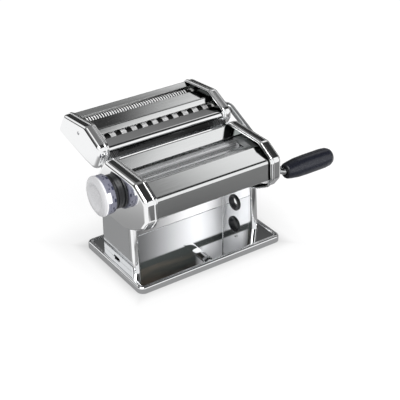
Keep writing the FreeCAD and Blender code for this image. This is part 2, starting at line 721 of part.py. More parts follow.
def make_frame_plates():
    """The structural plates that carry the bushes and stand on the base by their tabs."""
    for name, side in SIDES:
        body = slab(f"{name}_frame_plate", MAIN_PLATE, dims.plate_face, plate_back, side)
        start = (dims.plate_face if side > 0 else -plate_back)
        tabs = new_sketch(body, "YZ_Plane", start)
        for y in tab_places:
            draw_lines(tabs, [(y - tab_half, dims.base_top - 2.4), (y + tab_half, dims.base_top - 2.4),
                              (y + tab_half, dims.base_top + 0.5), (y - tab_half, dims.base_top + 0.5)])
        pad(body, tabs, dims.plate_gauge)
        holes = [(*front_axis, dims.bush_barrel + dims.running)]
        if side > 0:
            holes.append((dims.lug_y, dims.lug_z, dims.lug_hole))
        bore_x(body, holes, start, dims.plate_gauge)
        # The slot in which the adjustable roller's bearing travels.
        slot = new_sketch(body, "YZ_Plane", start)
        draw_slot(slot, rear_axis, dims.bush_barrel + dims.running, dims.gap_travel + 0.2)
        pocket(body, slot, dims.plate_gauge, reverse=True)


def draw_slot(sketch, centre, radius, travel):
    """A slot with round ends along the line through both roller axes."""
    tilt = math.radians(dims.roller_tilt.value)
    ahead = V(math.cos(tilt), -math.sin(tilt), 0)
    across = V(math.sin(tilt), math.cos(tilt), 0)
    run = (cosine(dims.roller_tilt), -sine(dims.roller_tilt))
    rise = (sine(dims.roller_tilt), cosine(dims.roller_tilt))
    start = V(centre[0].value, centre[1].value, 0)
    end = start + ahead * size(travel).value
    reach = across * size(radius).value
    turn = -tilt
    sketch.addGeometry(Part.LineSegment(start + reach, end + reach), False)
    sketch.addGeometry(Part.LineSegment(end - reach, start - reach), False)
    far = Part.Circle(end, V(0, 0, 1), size(radius).value)
    near = Part.Circle(start, V(0, 0, 1), size(radius).value)
    half_turn = math.pi / 2
    sketch.addGeometry(Part.ArcOfCircle(far, turn - half_turn, turn + half_turn), False)
    sketch.addGeometry(Part.ArcOfCircle(near, turn + half_turn, turn + 3 * half_turn), False)
    join = [(0, 2, 2, 2), (2, 1, 1, 1), (1, 2, 3, 2), (3, 1, 0, 1)]
    for one, one_end, other, other_end in join:
        sketch.addConstraint(Sketcher.Constraint("Coincident", one, one_end, other, other_end))
    up_y = rise[0] * radius
    up_z = rise[1] * radius
    run_y = run[0] * travel
    run_z = run[1] * travel
    pin_point(sketch, 0, 1, centre[0] + up_y, centre[1] + up_z)
    pin_point(sketch, 0, 2, centre[0] + run_y + up_y, centre[1] + run_z + up_z)
    pin_point(sketch, 1, 1, centre[0] + run_y - up_y, centre[1] + run_z - up_z)
    pin_point(sketch, 1, 2, centre[0] - up_y, centre[1] - up_z)
    for arc, along in ((2, centre[0] + run_y), (3, centre[0])):
        index = sketch.addConstraint(
            Sketcher.Constraint("DistanceX", -1, 1, arc, 3, along.value))
        bind(sketch, f"Constraints[{index}]", along)


def make_pedestal_covers():
    """Polished covers over the frame plates: a flat skin and a rounded, leaning front column."""
    foot = -dims.wall_front
    head = dims.seam_height
    for name, side in SIDES:
        body = new_body(f"{name}_pedestal_cover")
        inner = dims.wall_face - dims.column_width
        shift = inner if side > 0 else -dims.wall_face
        column = [(foot, dims.base_top), (foot + dims.column_lean, head - 0.3),
                  (foot + dims.column_lean + 7, head - 0.3), (foot + 8.8, dims.base_top)]
        pad(body, draw_lines(new_sketch(body, "YZ_Plane", shift), column), dims.column_width)
        leaning = dims.column_lean.value

        def front_edge(edge):
            ends = [vertex.Point for vertex in edge.Vertexes]
            tall = edge.BoundBox.ZLength > 20
            low_y = min(p.y for p in ends)
            return tall and low_y < foot.value + 0.01 and edge.BoundBox.YLength < leaning + 0.01

        fillet(body, dims.column_round, front_edge)
        skin_shift = dims.wall_face - dims.strip_gauge if side > 0 else -dims.wall_face
        skin = [(foot + 8.0, dims.base_top), (foot + dims.column_lean + 6.0, head - 0.3),
                (foot + dims.column_lean + 9.0, head + 5), (dims.wall_rear, head + 5),
                (dims.wall_rear, dims.base_top)]
        pad(body, draw_lines(new_sketch(body, "YZ_Plane", skin_shift), skin), dims.strip_gauge)
        lip_shift = plate_back + 0.2 if side > 0 else -dims.wall_face
        lip = [(dims.wall_rear - dims.strip_gauge, dims.base_top), (dims.wall_rear, dims.base_top),
               (dims.wall_rear, head + 5), (dims.wall_rear - dims.strip_gauge, head + 5)]
        pad(body, draw_lines(new_sketch(body, "YZ_Plane", lip_shift), lip),
            dims.wall_face - plate_back - 0.2)
        notch = new_sketch(body, "YZ_Plane", dims.wall_face * side + (0.5 if side > 0 else -0.5))
        draw_lines(notch, [(2.0, dims.base_top - 1), (15.0, dims.base_top - 1),
                           (14.0, dims.base_top + 2.6), (3.0, dims.base_top + 2.6)])
        pocket(body, notch, dims.strip_gauge + 0.5, reverse=side < 0)
        if side > 0:
            sketch = new_sketch(body, "YZ_Plane", dims.wall_face + 0.5)
            draw_circle(sketch, dims.lug_y, dims.lug_z, dims.lug_hole)
            pocket(body, sketch, dims.strip_gauge + 0.5)


def make_lug_bush():
    """The lining of the motor lug hole, through the frame plate and its cover."""
    barrel = dims.lug_hole - dims.running
    bore = dims.lug_hole - dims.lug_wall
    turned("lug_bush", [
        (dims.plate_face - 2.0, bore + 0.6), (dims.plate_face - 2.0, dims.lug_hole + 0.8),
        (dims.plate_face - 1.2, dims.lug_hole + 1.6), (dims.plate_face, dims.lug_hole + 1.6),
        (dims.plate_face, barrel), (dims.wall_face, barrel), (dims.wall_face, bore),
        (dims.plate_face - 1.4, bore)], dims.lug_y, dims.lug_z)


def make_main_sheets():
    reach = dims.plate_face
    skin = -dims.strip_gauge / 2
    folded_sheet("rear_panel", [
        slide_point(skin, 22.0), slide_point(skin, 0.0),
        (slide_point(skin, 0.0)[0], dims.base_top - skin)], reach)
    folded_sheet("feed_plate", [
        (dims.head_rear - 16.8, top - 5.1), (dims.head_rear - 17.9, top - 3.7),
        (dims.head_rear - 27.1, top - 14.8)], reach)
    folded_sheet("front_fascia", [
        (nose + 31.5, top - 9.4), (nose + 29.5, top - 6.8),
        (nose + 4.8, top - 14.5, dims.soft_fold), (nose + 3.5, top - 38),
        (nose + 6.2, top - 39.4)], reach)
    tip = dims.roller_radius + 0.5
    low = math.sqrt(0.5)
    folded_sheet("front_scraper", [
        (front_axis[0] - tip * low, front_axis[1] - tip * low - 0.6),
        (front_axis[0] - tip - 6.5, front_axis[1] - tip - 2.5),
        (front_axis[0] - tip - 11.5, front_axis[1] - tip - 3.1)], reach)


def make_tie_rods():
    for name, y, z in (("front", nose + 13, top - 27), ("rear", dims.head_rear - 10, top - 25)):
        ends = plate_back + 3.0
        nut = dims.tie_radius + 2.0
        turned(f"tie_rod_{name}", [
            (-ends, 0), (-ends, nut), (-plate_back, nut), (-plate_back, dims.tie_radius),
            (plate_back, dims.tie_radius), (plate_back, nut), (ends, nut), (ends, 0)], y, z)
        for body in [item for item in nodes if item.Label in ("left_frame_plate", "right_frame_plate")]:
            positive = body.Label.startswith("right")
            bore_x(body, [(y, z, dims.tie_radius)], dims.plate_face if positive else -plate_back,
                   dims.plate_gauge)


def make_end_guides():
    """Moulded pieces over the roller ends that keep the dough off the journals."""
    y, z = front_axis
    low = z + dims.bush_flange + 0.9
    over = z + dims.roller_radius
    outline = [(y - 10, low), (y - 4, over + 1.4), (y + 12, over + 3.4),
               (rear_axis[0] + 3.8, over - 1.5), (rear_axis[0] + 7.8, low)]
    for name, side in SIDES:
        body = slab(f"{name}_end_guide", outline, dims.roller_length / 2 + 0.4, dims.plate_face, side)
        fillet(body, 2.0, lambda e: along_x(e) and e.BoundBox.ZMin > low.value + 0.01)


def bush(name, y, z, side):
    inner = dims.plate_face - dims.bush_rim
    bore = dims.journal + dims.running
    return turned(name, [
        (inner * side, bore), (inner * side, dims.bush_flange),
        (dims.plate_face * side, dims.bush_flange), (dims.plate_face * side, dims.bush_barrel),
        (plate_back * side, dims.bush_barrel), (plate_back * side, bore)], y, z)


def make_front_bushes():
    for name, side in SIDES:
        bush(f"front_bush_{name}", *front_axis, side)


def make_rear_bearings():
    """Bearing plates that slide in the frame slots, joined by the rear scraper."""
    y, z = rear_axis
    hub_edge = dims.bush_barrel + 0.8
    deep = dims.roller_radius + 4
    outline = [(y - hub_edge, z - 6), (y - hub_edge, z + 7), (y - 4, z + hub_edge + 1.5),
               (y + 6, z + hub_edge + 1.5), (y + hub_edge + 3, z + 4), (y + deep - 1, z - deep + 6),
               (y + deep - 1, z - deep), (y + deep - 10, z - deep)]
    inner = dims.plate_face - 2.2
    for name, side in SIDES:
        body = slab(f"rear_bearing_{name}", outline, inner, dims.plate_face - 0.2, side)
        hub = new_sketch(body, "YZ_Plane", inner if side > 0 else -plate_back)
        draw_circle(hub, y, z, dims.bush_barrel)
        pad(body, hub, plate_back - inner)
        bore_x(body, [(y, z, dims.journal + dims.running)],
               inner if side > 0 else -plate_back, plate_back - inner)
    tip = dims.roller_radius + 0.9
    folded_sheet("rear_scraper", [
        (y + tip * 0.62, z - tip * 0.785), (y + deep - 4.4, z - deep + 3.0),
        (y + deep - 3.4, z - deep + 0.8)], inner)


def roller_profile(body_radius, right_end, left_end, left_stub):
    """Half section of a roller: body, journals and a reduced left end."""
    half = dims.roller_length / 2
    return [
        (-left_end, 0), (-left_end, left_stub), (-plate_back - 0.2, left_stub),
        (-plate_back - 0.2, dims.journal), (-half, dims.journal), (-half, body_radius),
        (half, body_radius), (half, dims.journal), (right_end, dims.journal), (right_end, 0)]


def driven(body, y, z):
    """Cut the crank socket into the right end of a driven roller made about the X axis."""
    sketch = new_sketch(body, "YZ_Plane", dims.drive_end)
    draw_circle(sketch, 0, 0, dims.socket)
    pocket(body, sketch, dims.socket_depth)
    return place(body, y, z)


def make_rollers():
    end = dims.gear_plane + dims.gear_width
    front = turned("front_roller", roller_profile(
        dims.roller_radius, dims.drive_end, plate_back + 0.6, dims.stub), *front_axis)
    driven(front, *front_axis)
    turned("rear_roller", roller_profile(
        dims.roller_radius, end, plate_back + 0.6, dims.stub), *rear_axis)


def cutter_profile(discs, pitch, core, radius, width, right_end, first):
    """Half section of a cutting roller: a core with evenly spaced discs."""
    half = dims.roller_length / 2
    left_end = dims.gear_plane + dims.gear_width
    points = [(-left_end, 0), (-left_end, dims.stub), (-plate_back - 0.2, dims.stub),
              (-plate_back - 0.2, dims.journal), (-half, dims.journal), (-half, core)]
    for i in range(discs):
        centre = first + pitch * i
        points += [(centre - width / 2, core), (centre - width / 2, radius),
                   (centre + width / 2, radius), (centre + width / 2, core)]
    points += [(half, core), (half, dims.journal), (right_end, dims.journal), (right_end, 0)]
    return points


def make_wide_cutters():
    count = int(dims.wide_discs.value)
    pitch = dims.wide_ribbon * 2
    width = dims.wide_ribbon - dims.disc_clearance
    first = -pitch * (count - 1) / 2
    body = turned("wide_cutter_rear", cutter_profile(
        count, pitch, dims.wide_core, dims.wide_radius, width, dims.drive_end, first), *wide_rear)
    driven(body, *wide_rear)
    turned("wide_cutter_front", cutter_profile(
        count - 1, pitch, dims.wide_core, dims.wide_radius, width, plate_back + 0.6,
        first + dims.wide_ribbon), *wide_front)


def make_fine_cutters():
    left_end = dims.gear_plane + dims.gear_width
    body = turned("fine_cutter_front", roller_profile(
        dims.fine_radius, dims.drive_end, left_end, dims.stub), *fine_front)
    driven(body, *fine_front)
    turned("fine_cutter_rear", roller_profile(
        dims.fine_radius, plate_back + 0.6, left_end, dims.stub), *fine_rear)


def gear(name, teeth, pitch_radius, addendum, dedendum, bore, inner_x, y, z, phase):
    """A spur gear with straight-flanked teeth, padded along X about its own axis."""
    body = new_body(name)
    sketch = new_sketch(body, "YZ_Plane", inner_x)
    step = 360.0 / teeth
    tip = pitch_radius + addendum
    root = pitch_radius - dedendum
    points = []
    for i in range(teeth):
        for offset, radius in ((-0.33, root), (-0.1, tip), (0.1, tip), (0.33, root)):
            angle = size(phase) + step * (i + offset)
            points.append((radius * cosine(angle), radius * sine(angle)))
    draw_lines(sketch, points)
    draw_circle(sketch, 0, 0, bore)
    pad(body, sketch, dims.gear_width)
    return place(body, y, z)


def make_gears():
    plane = dims.gear_plane
    teeth = int(dims.roller_teeth.value)
    towards = -dims.roller_tilt
    radius = dims.centre_distance / 2
    gear("front_roller_gear", teeth, radius, size(2.3), size(2.7), dims.journal, plane,
         *front_axis, towards)
    gear("rear_roller_gear", teeth, radius, size(2.3), size(2.7), dims.journal, plane,
         *rear_axis, towards + 180 + 180.0 / teeth)
    inner = -(dims.gear_plane + dims.gear_width)
    teeth = int(dims.cutter_teeth.value)
    half_step = 180.0 / teeth
    for kind, front, rear, spacing in (
            ("wide", wide_front, wide_rear, dims.wide_spacing),
            ("fine", fine_front, fine_rear, dims.fine_spacing)):
        gear(f"{kind}_cutter_gear_front", teeth, spacing / 2, size(1.1), size(1.4), dims.stub,
             inner, *front, 0.0)
        gear(f"{kind}_cutter_gear_rear", teeth, spacing / 2, size(1.1), size(1.4), dims.stub,
             inner, *rear, 180.0 + half_step)


def make_cutter_frame():
    for name, side in SIDES:
        body = slab(f"cutter_{name}_frame_plate", CUTTER_PLATE, dims.plate_face, plate_back, side)
        start = dims.plate_face if side > 0 else -plate_back
        hole = dims.bush_barrel + dims.running
        bore_x(body, [(*wide_front, hole), (*wide_rear, hole), (*fine_front, hole), (*fine_rear, hole)],
               start, dims.plate_gauge)
    for kind, front, rear in (("wide", wide_front, wide_rear), ("fine", fine_front, fine_rear)):
        members = []
        for name, side in SIDES:
            members.append(bush(f"{kind}_bush_front_{name}", *front, side))
            members.append(bush(f"{kind}_bush_rear_{name}", *rear, side))
        group(f"{kind}_cutter_bushes", members)


def slide_point(offset, climb):
    """A point of the slide's own grid: offset out from the rail plane, climb up along it."""
    across = (cosine(dims.rail_lean), sine(dims.rail_lean))
    up = (-sine(dims.rail_lean), cosine(dims.rail_lean))
    foot_y = dims.slide_y
    foot_z = dims.slide_z
    return (foot_y + across[0] * offset + up[0] * climb, foot_z + across[1] * offset + up[1] * climb)


def slide_box(name, x_from, x_to, out_from, out_to, climb_from, climb_to, body=None):
    """A block lined up with the slide, between two X planes."""
    body = body or new_body(name)
    corners = [slide_point(out_from, climb_from), slide_point(out_to, climb_from),
               slide_point(out_to, climb_to), slide_point(out_from, climb_to)]
    pad(body, draw_lines(new_sketch(body, "YZ_Plane", x_from), corners), size(x_to) - x_from)
    return body


def make_cutter_sheets():
    reach = dims.plate_face
    folded_sheet("cutter_rear_plate", [
        (fine_mid + 5.0, cut_top - 10.4), (cut_rear - 14.7, cut_top - 6.5),
        (cut_rear - 3.4, fine_level - 4.5), (cut_rear - 5.5, fine_level - 7.5)], reach)
    folded_sheet("cutter_middle_plate", [
        (fine_mid - 3.5, cut_top - 13.6), (fine_mid - 4.4, cut_top - 10.6),
        (wide_mid + 8.6, cut_top - 8.2), (wide_mid + 3.2, cut_top - 15.0)], reach)
    bottom = slide_point(dims.front_wall, dims.channel_low)
    shoulder = slide_point(dims.front_wall, dims.channel_high + 5.7)
    folded_sheet("cutter_front_plate", [
        (wide_mid - 5.5, cut_top - 15.2), (*shoulder, dims.soft_fold), bottom], reach)


def make_slide():
    """Tee rails on the rear panel and the channels of the cutter head that drop over them."""
    for name, side in SIDES:
        middle = dims.rail_x * side
        half_head = dims.rail_width / 2
        half_stem = dims.rail_stem / 2
        rail_top = dims.channel_high - 3
        body = slide_box(f"{name}_rail", middle - half_stem, middle + half_stem,
                         0.0, dims.rail_out - 1.5, 2.0, rail_top)
        slide_box(None, middle - half_head, middle + half_head, dims.rail_out - 2.0, dims.rail_out,
                  2.0, rail_top, body)
        gap = dims.seat
        wall = dims.channel_wall
        outer = half_head + gap + wall
        back = dims.front_wall - dims.strip_gauge / 2
        low_end = dims.channel_low + 1
        high_end = dims.channel_high - 0.6
        inner = dims.rail_out - 3.8
        body = slide_box(f"{name}_channel", middle - outer, middle + outer, dims.rail_out + gap, back,
                         low_end, high_end)
        for edge in (-1, 1):
            near = middle + (half_head + gap) * edge
            far = middle + outer * edge
            low, high = (near, far) if edge > 0 else (far, near)
            slide_box(None, low, high, inner, back, low_end, high_end, body)
            lip_in = middle + (half_stem + gap) * edge
            low, high = (lip_in, far) if edge > 0 else (far, lip_in)
            slide_box(None, low, high, inner, dims.rail_out - 2.3, low_end, high_end, body)
        slide_box(None, middle - outer, middle + outer, inner, back, rail_top + gap, high_end, body)


def make_combs():
    """Stripper combs under the wide cutters: one finger in each groove."""
    count = int(dims.wide_discs.value)
    pitch = dims.wide_ribbon * 2
    finger = dims.wide_ribbon - 2.0
    combs = (("front", wide_front, count, -1), ("rear", wide_rear, count - 1, 1))
    for name, axis, grooves, way in combs:
        body = new_body(f"wide_comb_{name}")
        y, z = axis
        bar = new_sketch(body, "YZ_Plane", -dims.plate_face)
        under = z - dims.wide_radius - 2.8
        draw_lines(bar, [(y + 0.5 * way, under - 4), (y + 2.5 * way, under - 4),
                         (y + 2.5 * way, under), (y + 0.5 * way, under)])
        pad(body, bar, dims.plate_face * 2)
        first = -pitch * (grooves - 1) / 2 - finger / 2
        tooth = new_sketch(body, "YZ_Plane", first)
        tip = z - dims.wide_core - 0.6
        draw_lines(tooth, [(y + 0.5 * way, under - 1), (y + 2.5 * way, under - 1),
                           (y + 2.0 * way, tip), (y + 0.8 * way, tip)])
        feature = pad(body, tooth, finger)
        row = body.newObject("PartDesign::LinearPattern", "LinearPattern")
        row.Originals = [feature]
        row.Direction = (origin_item(body, "X_Axis"), [""])
        bind(row, "Length", pitch * (grooves - 1))
        row.Occurrences = grooves
        body.Tip = row
        doc.recompute()


def make_regulator():
    """Collar on the cheek, spindle through it, and the dial and cap that pull out along it."""
    face = -dims.cheek_face
    collar_end = face - dims.collar_length
    bore = dims.spindle + dims.running
    turned("regulator_collar", [
        (face, bore), (face, dims.collar_radius), (face - 3, dims.collar_radius),
        (face - 3.6, dims.collar_radius - 0.8), (face - 4.4, dims.collar_radius - 0.8),
        (face - 5, dims.collar_radius), (collar_end, dims.collar_radius), (collar_end, bore)],
        *rear_axis)
    dial_end = collar_end - dims.seat - dims.dial_length
    cap_end = dial_end - dims.cap_length
    inner = -dims.cheek_face + dims.gauge + 0.2
    turned("regulator_spindle", [
        (inner + 1.6, 0), (inner + 1.6, dims.spindle + 4), (inner, dims.spindle + 4),
        (inner, dims.spindle), (collar_end, dims.spindle), (collar_end, dims.spindle_nose),
        (dial_end - 3, dims.spindle_nose), (dial_end - 3, 0)], *rear_axis)
    hole = dims.spindle_nose + dims.running
    turned("regulator_dial", [
        (collar_end - dims.seat, hole), (collar_end - dims.seat, dims.dial_radius - 0.6),
        (collar_end - dims.seat - 0.6, dims.dial_radius), (dial_end, dims.dial_radius),
        (dial_end, hole)], *rear_axis)
    turned("regulator_cap", [
        (dial_end, hole), (dial_end, dims.knob_radius - 0.4), (dial_end - 0.6, dims.knob_radius),
        (dial_end - 3.5, dims.knob_radius), (dial_end - 6.8, dims.knob_radius - 3.2),
        (cap_end, dims.knob_radius - 6.2), (cap_end, dims.knob_radius - 8.4),
        (cap_end + 1.8, dims.knob_radius - 12), (cap_end + 2.2, 0),
        (dial_end - 3.3, 0), (dial_end - 3.3, hole)], *rear_axis)


def make_crank():
    """A bent round rod with a free-turning grip."""
    body = new_body("crank_rod")
    start = dims.drive_end - dims.socket_depth + 1.0
    plane = dims.crank_plane
    bend = dims.crank_bend
    arm = dims.crank_arm
    end = dims.grip_start + dims.grip_length - 1.4
    spine = new_sketch(body, "XY_Plane")
    lines = [((start, size(0)), (plane - bend, size(0))), ((plane, bend), (plane, arm - bend)),
             ((plane + bend, arm), (end, arm))]
    arcs = [(plane - bend, bend, 1.5 * math.pi, 2 * math.pi),
            (plane + bend, arm - bend, 0.5 * math.pi, math.pi)]
    for a, b in lines:
        spots = [V(x.value, y.value, 0) for x, y in (a, b)]
        spine.addGeometry(Part.LineSegment(*spots), False)
    for x, y, low, high in arcs:
        circle = Part.Circle(V(x.value, y.value, 0), V(0, 0, 1), bend.value)
        spine.addGeometry(Part.ArcOfCircle(circle, low, high), False)
    for a, a_end, b, b_end in ((0, 2, 3, 1), (3, 2, 1, 1), (1, 2, 4, 2), (4, 1, 2, 1)):
        spine.addConstraint(Sketcher.Constraint("Coincident", a, a_end, b, b_end))
    for index, (a, b) in enumerate(lines):
        pin_point(spine, index, 1, *a)
        pin_point(spine, index, 2, *b)
    for arc in (3, 4):
        index = spine.addConstraint(Sketcher.Constraint("Radius", arc, bend.value))
        bind(spine, f"Constraints[{index}]", bend)
    section = new_sketch(body, "YZ_Plane", start)
    draw_circle(section, 0, 0, dims.rod)
    doc.recompute()
    pipe = body.newObject("PartDesign::AdditivePipe", "AdditivePipe")
    pipe.Profile = section
    pipe.Spine = (spine, [f"Edge{i}" for i in range(1, 6)])
    doc.recompute()
    place(body, *wide_rear, turn=180 + dims.crank_drop)
    y = wide_rear[0] - arm * cosine(dims.crank_drop)
    z = wide_rear[1] - arm * sine(dims.crank_drop)
    first = dims.grip_start
    last = first + dims.grip_length
    hole = dims.rod + dims.running
    wide = dims.grip_radius
    mouth = dims.rod + 1.0
    head = dims.rod + 2.2
    turned("crank_grip", [
        (first + 2.2, hole), (first + 2.2, mouth), (first, mouth), (first, wide - 3.6),
        (first + 1.2, wide - 2.8), (first + 5, wide - 1.9), (first + 16, wide - 0.4),
        (first + 28, wide), (last - 14, wide), (last - 6, wide - 0.8), (last - 2, wide - 2.8),
        (last, head + 0.6), (last - 2.6, head + 0.6), (last - 2.6, hole)], y, z)
    turned("grip_rivet", [
        (end, 0), (end, head), (end + 0.5, head), (end + 0.9, head - 0.8), (end + 0.9, 0)], y, z)


make_base()
make_feet()
make_frame_plates()
make_pedestal_covers()
make_lug_bush()
make_main_cheeks()
make_main_sheets()
make_tie_rods()
make_end_guides()
make_front_bushes()
make_rear_bearings()
make_rollers()
make_gears()
make_regulator()
make_cutter_frame()
make_cutter_cheeks()
make_cutter_sheets()
make_slide()
make_wide_cutters()
make_fine_cutters()
make_combs()
make_crank()

doc.recompute()
for item in doc.Objects:
    if "Invalid" in item.State or "Error" in item.State:
        raise RuntimeError(f"{item.Name} ({item.Label}) failed: {item.State}")

os.makedirs("parts", exist_ok=True)
for node in nodes:
    shape = node.Shape
    if shape.isNull() or not shape.isValid() or shape.Volume <= 0:
        raise RuntimeError(f"{node.Label} has no valid solid")
    shape.exportStep(f"parts/{node.Label}.step")
print(f"{len(nodes)} nodes written")
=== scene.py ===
import json
import math

import bmesh
import bpy
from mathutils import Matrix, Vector


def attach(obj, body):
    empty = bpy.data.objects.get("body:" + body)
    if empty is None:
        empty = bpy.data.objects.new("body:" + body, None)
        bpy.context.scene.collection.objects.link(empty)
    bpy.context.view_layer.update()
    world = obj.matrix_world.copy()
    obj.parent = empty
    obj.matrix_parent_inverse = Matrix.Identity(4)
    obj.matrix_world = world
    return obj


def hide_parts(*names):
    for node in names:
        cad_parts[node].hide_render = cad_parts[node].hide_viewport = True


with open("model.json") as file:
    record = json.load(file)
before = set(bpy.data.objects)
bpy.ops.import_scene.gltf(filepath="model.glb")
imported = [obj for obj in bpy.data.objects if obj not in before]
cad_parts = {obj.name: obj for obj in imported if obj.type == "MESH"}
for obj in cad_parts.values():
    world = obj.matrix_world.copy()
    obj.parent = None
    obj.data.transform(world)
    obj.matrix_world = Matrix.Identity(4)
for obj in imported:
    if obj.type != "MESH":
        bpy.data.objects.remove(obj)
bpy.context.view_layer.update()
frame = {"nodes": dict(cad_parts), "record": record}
record = frame["record"]
MM = 0.001


# ---------------------------------------------------------------- shader nodes

class Graph:
    """The nodes of one shader tree. A value is another node's output or a constant."""

    def __init__(self, owner):
        owner.use_nodes = True
        self.nodes = owner.node_tree.nodes
        self.links = owner.node_tree.links

    def add(self, kind):
        return self.nodes.new("ShaderNode" + kind)

    def feed(self, socket, value):
        """Link an output to a socket, or set a constant on the socket itself."""
        if isinstance(value, bpy.types.NodeSocket):
            self.links.new(value, socket)
        else:
            socket.default_value = value

    def calc(self, operation, *values):
        """A math node."""
        made = self.add("Math")
        made.operation = operation
        for socket, value in zip(made.inputs, values):
            self.feed(socket, value)
        return made.outputs["Value"]

    def ramp(self, value, low, high, to_low=0.0, to_high=1.0, kind="LINEAR"):
        """A value's run from low to high mapped to another run, and held at its ends."""
        made = self.add("MapRange")
        made.interpolation_type = kind
        self.links.new(value, made.inputs["Value"])
        made.inputs["From Min"].default_value = low
        made.inputs["From Max"].default_value = high
        made.inputs["To Min"].default_value = to_low
        made.inputs["To Max"].default_value = to_high
        return made.outputs["Result"]

    def ease(self, *run):
        """A ramp with soft ends."""
        return self.ramp(*run, kind="SMOOTHSTEP")

    def mixed(self, factor, one, other):
        """Two colours mixed by a factor."""
        made = self.add("Mix")
        made.data_type = "RGBA"
        self.feed(made.inputs["Factor"], factor)
        self.feed(made.inputs["A"], one)
        self.feed(made.inputs["B"], other)
        return made.outputs["Result"]

    def vector(self, operation, source, name):
        """A vector math node over a source, and its named output."""
        made = self.add("VectorMath")
        made.operation = operation
        self.links.new(source, made.inputs[0])
        return made, made.outputs[name]

    def place(self, space="Object"):
        """The shaded point, or the seen direction, followed by its X, Y and Z."""
        source = self.add("TexCoord").outputs[space]
        parts = self.add("SeparateXYZ")
        self.links.new(source, parts.inputs["Vector"])
        return source, parts.outputs["X"], parts.outputs["Y"], parts.outputs["Z"]


# ---------------------------------------------------------------- materials

EVEN = (1, 1, 1)
ALONG = (0.015, 1, 1)  # grain drawn out along X
NOISE_RUN = (0.3, 0.7)  # where most of a noise field lies
SMUDGE = 28.0
looks = {}


def new_look(name, colour, metallic, roughness):
    """A Principled material whose constants sit on the shader's own sockets."""
    made = bpy.data.materials.new(name)
    made.use_nodes = True
    shader = made.node_tree.nodes["Principled BSDF"]
    shader.inputs["Base Color"].default_value = (*colour, 1)
    shader.inputs["Metallic"].default_value = metallic
    shader.inputs["Roughness"].default_value = roughness
    looks[name] = made
    return Graph(made), shader


def grain(graph, scale, stretch=EVEN, detail=4.0, seed=0.0):
    """A noise field in the piece's own space, stretched along chosen axes."""
    mapping = graph.add("Mapping")
    mapping.inputs["Scale"].default_value = stretch
    mapping.inputs["Location"].default_value = (seed, seed * 0.7, seed * 1.3)
    noise = graph.add("TexNoise")
    noise.inputs["Scale"].default_value = scale
    noise.inputs["Detail"].default_value = detail
    graph.links.new(graph.add("TexCoord").outputs["Object"], mapping.inputs["Vector"])
    graph.links.new(mapping.outputs["Vector"], noise.inputs["Vector"])
    return noise.outputs["Fac"]


def tint(graph, shader, field, dark, light):
    """A base colour that runs from dark to light with a field."""
    graph.links.new(graph.mixed(field, (*dark, 1), (*light, 1)), shader.inputs["Base Color"])


def roughen(graph, shader, field, low, high):
    """A roughness that runs from low to high with a field."""
    graph.links.new(graph.ramp(field, *NOISE_RUN, low, high), shader.inputs["Roughness"])


def emboss(graph, shader, field, strength, distance):
    """Small relief from a field."""
    bump = graph.add("Bump")
    bump.inputs["Strength"].default_value = strength
    bump.inputs["Distance"].default_value = distance
    graph.links.new(field, bump.inputs["Height"])
    graph.links.new(bump.outputs["Normal"], shader.inputs["Normal"])


def chrome(name, colour=(0.9, 0.905, 0.91), low=0.03, high=0.09):
    """A plated mirror, faintly smudged and wavy."""
    graph, shader = new_look(name, colour, 1.0, 0.05)
    roughen(graph, shader, grain(graph, SMUDGE), low, high)
    emboss(graph, shader, grain(graph, 9.0, EVEN, 1.0, 2.0), 0.06, 0.0004)
    return graph, shader


def silvered(name, high):
    """A plated mirror whose base colour varies a little, ready for painted shade."""
    graph, shader = chrome(name, high=high)
    tint(graph, shader, grain(graph, SMUDGE), (0.88, 0.885, 0.89), (0.92, 0.925, 0.93))


def brushed(name, dark, light, stretch, scale=900.0, low=0.2, high=0.34, strength=0.12, metal=1.0):
    """Metal with fine brush lines in tone, gloss and relief."""
    graph, shader = new_look(name, light, metal, 0.25)
    lines = grain(graph, scale, stretch)
    tint(graph, shader, lines, dark, light)
    roughen(graph, shader, lines, low, high)
    emboss(graph, shader, lines, strength, 0.0001)


def plastic(name, dark, light, low, high):
    """Moulded plastic with fine pores."""
    graph, shader = new_look(name, light, 0.0, 0.4)
    pores = grain(graph, 1400.0)
    tint(graph, shader, pores, dark, light)
    roughen(graph, shader, pores, low, high)
    emboss(graph, shader, pores, 0.06, 0.00008)


def shade_above(name, low, high, dark, clear_z=None, clear_x=None):
    """Paint shade on a look above a height, where the housing keeps the light out.

    Over the clear height the painted shade takes brown streaks, a painted reflection, and past the
    clear x the painted shade lifts so the lit colour comes back."""
    graph = Graph(looks[name])
    base = graph.nodes["Principled BSDF"].inputs["Base Color"]
    lit = base.links[0].from_socket
    x, y, z = graph.place()[1:]
    shadow = graph.ramp(z, low, high)
    deep = (*dark, 1)
    if clear_z:
        over = graph.ramp(z, *clear_z)
        opened = graph.calc("MULTIPLY", over, graph.ramp(x, *clear_x))
        shadow = graph.calc("SUBTRACT", shadow, opened)
        # painted reflection: brown streaks in the painted shade over the clear height
        painted_reflection_streaks = graph.ramp(grain(graph, 60.0, (0.15, 1, 1), 5.0, 9.0), 0.4, 0.66)
        deep = graph.mixed(graph.calc("MULTIPLY", painted_reflection_streaks, over), deep, (0.11, 0.09, 0.07, 1))
    graph.links.new(graph.mixed(shadow, lit, deep), base)


def shade_beside(name, low, high, least):
    """Darken a look toward the left, away from the light that comes in at the right."""
    graph = Graph(looks[name])
    base = graph.nodes["Principled BSDF"].inputs["Base Color"]
    lit = base.links[0].from_socket
    x = graph.place()[1]
    scaled, dimmed = graph.vector("SCALE", lit, "Vector")
    graph.links.new(graph.ease(x, low, high, least), scaled.inputs["Scale"])
    graph.links.new(dimmed, base)


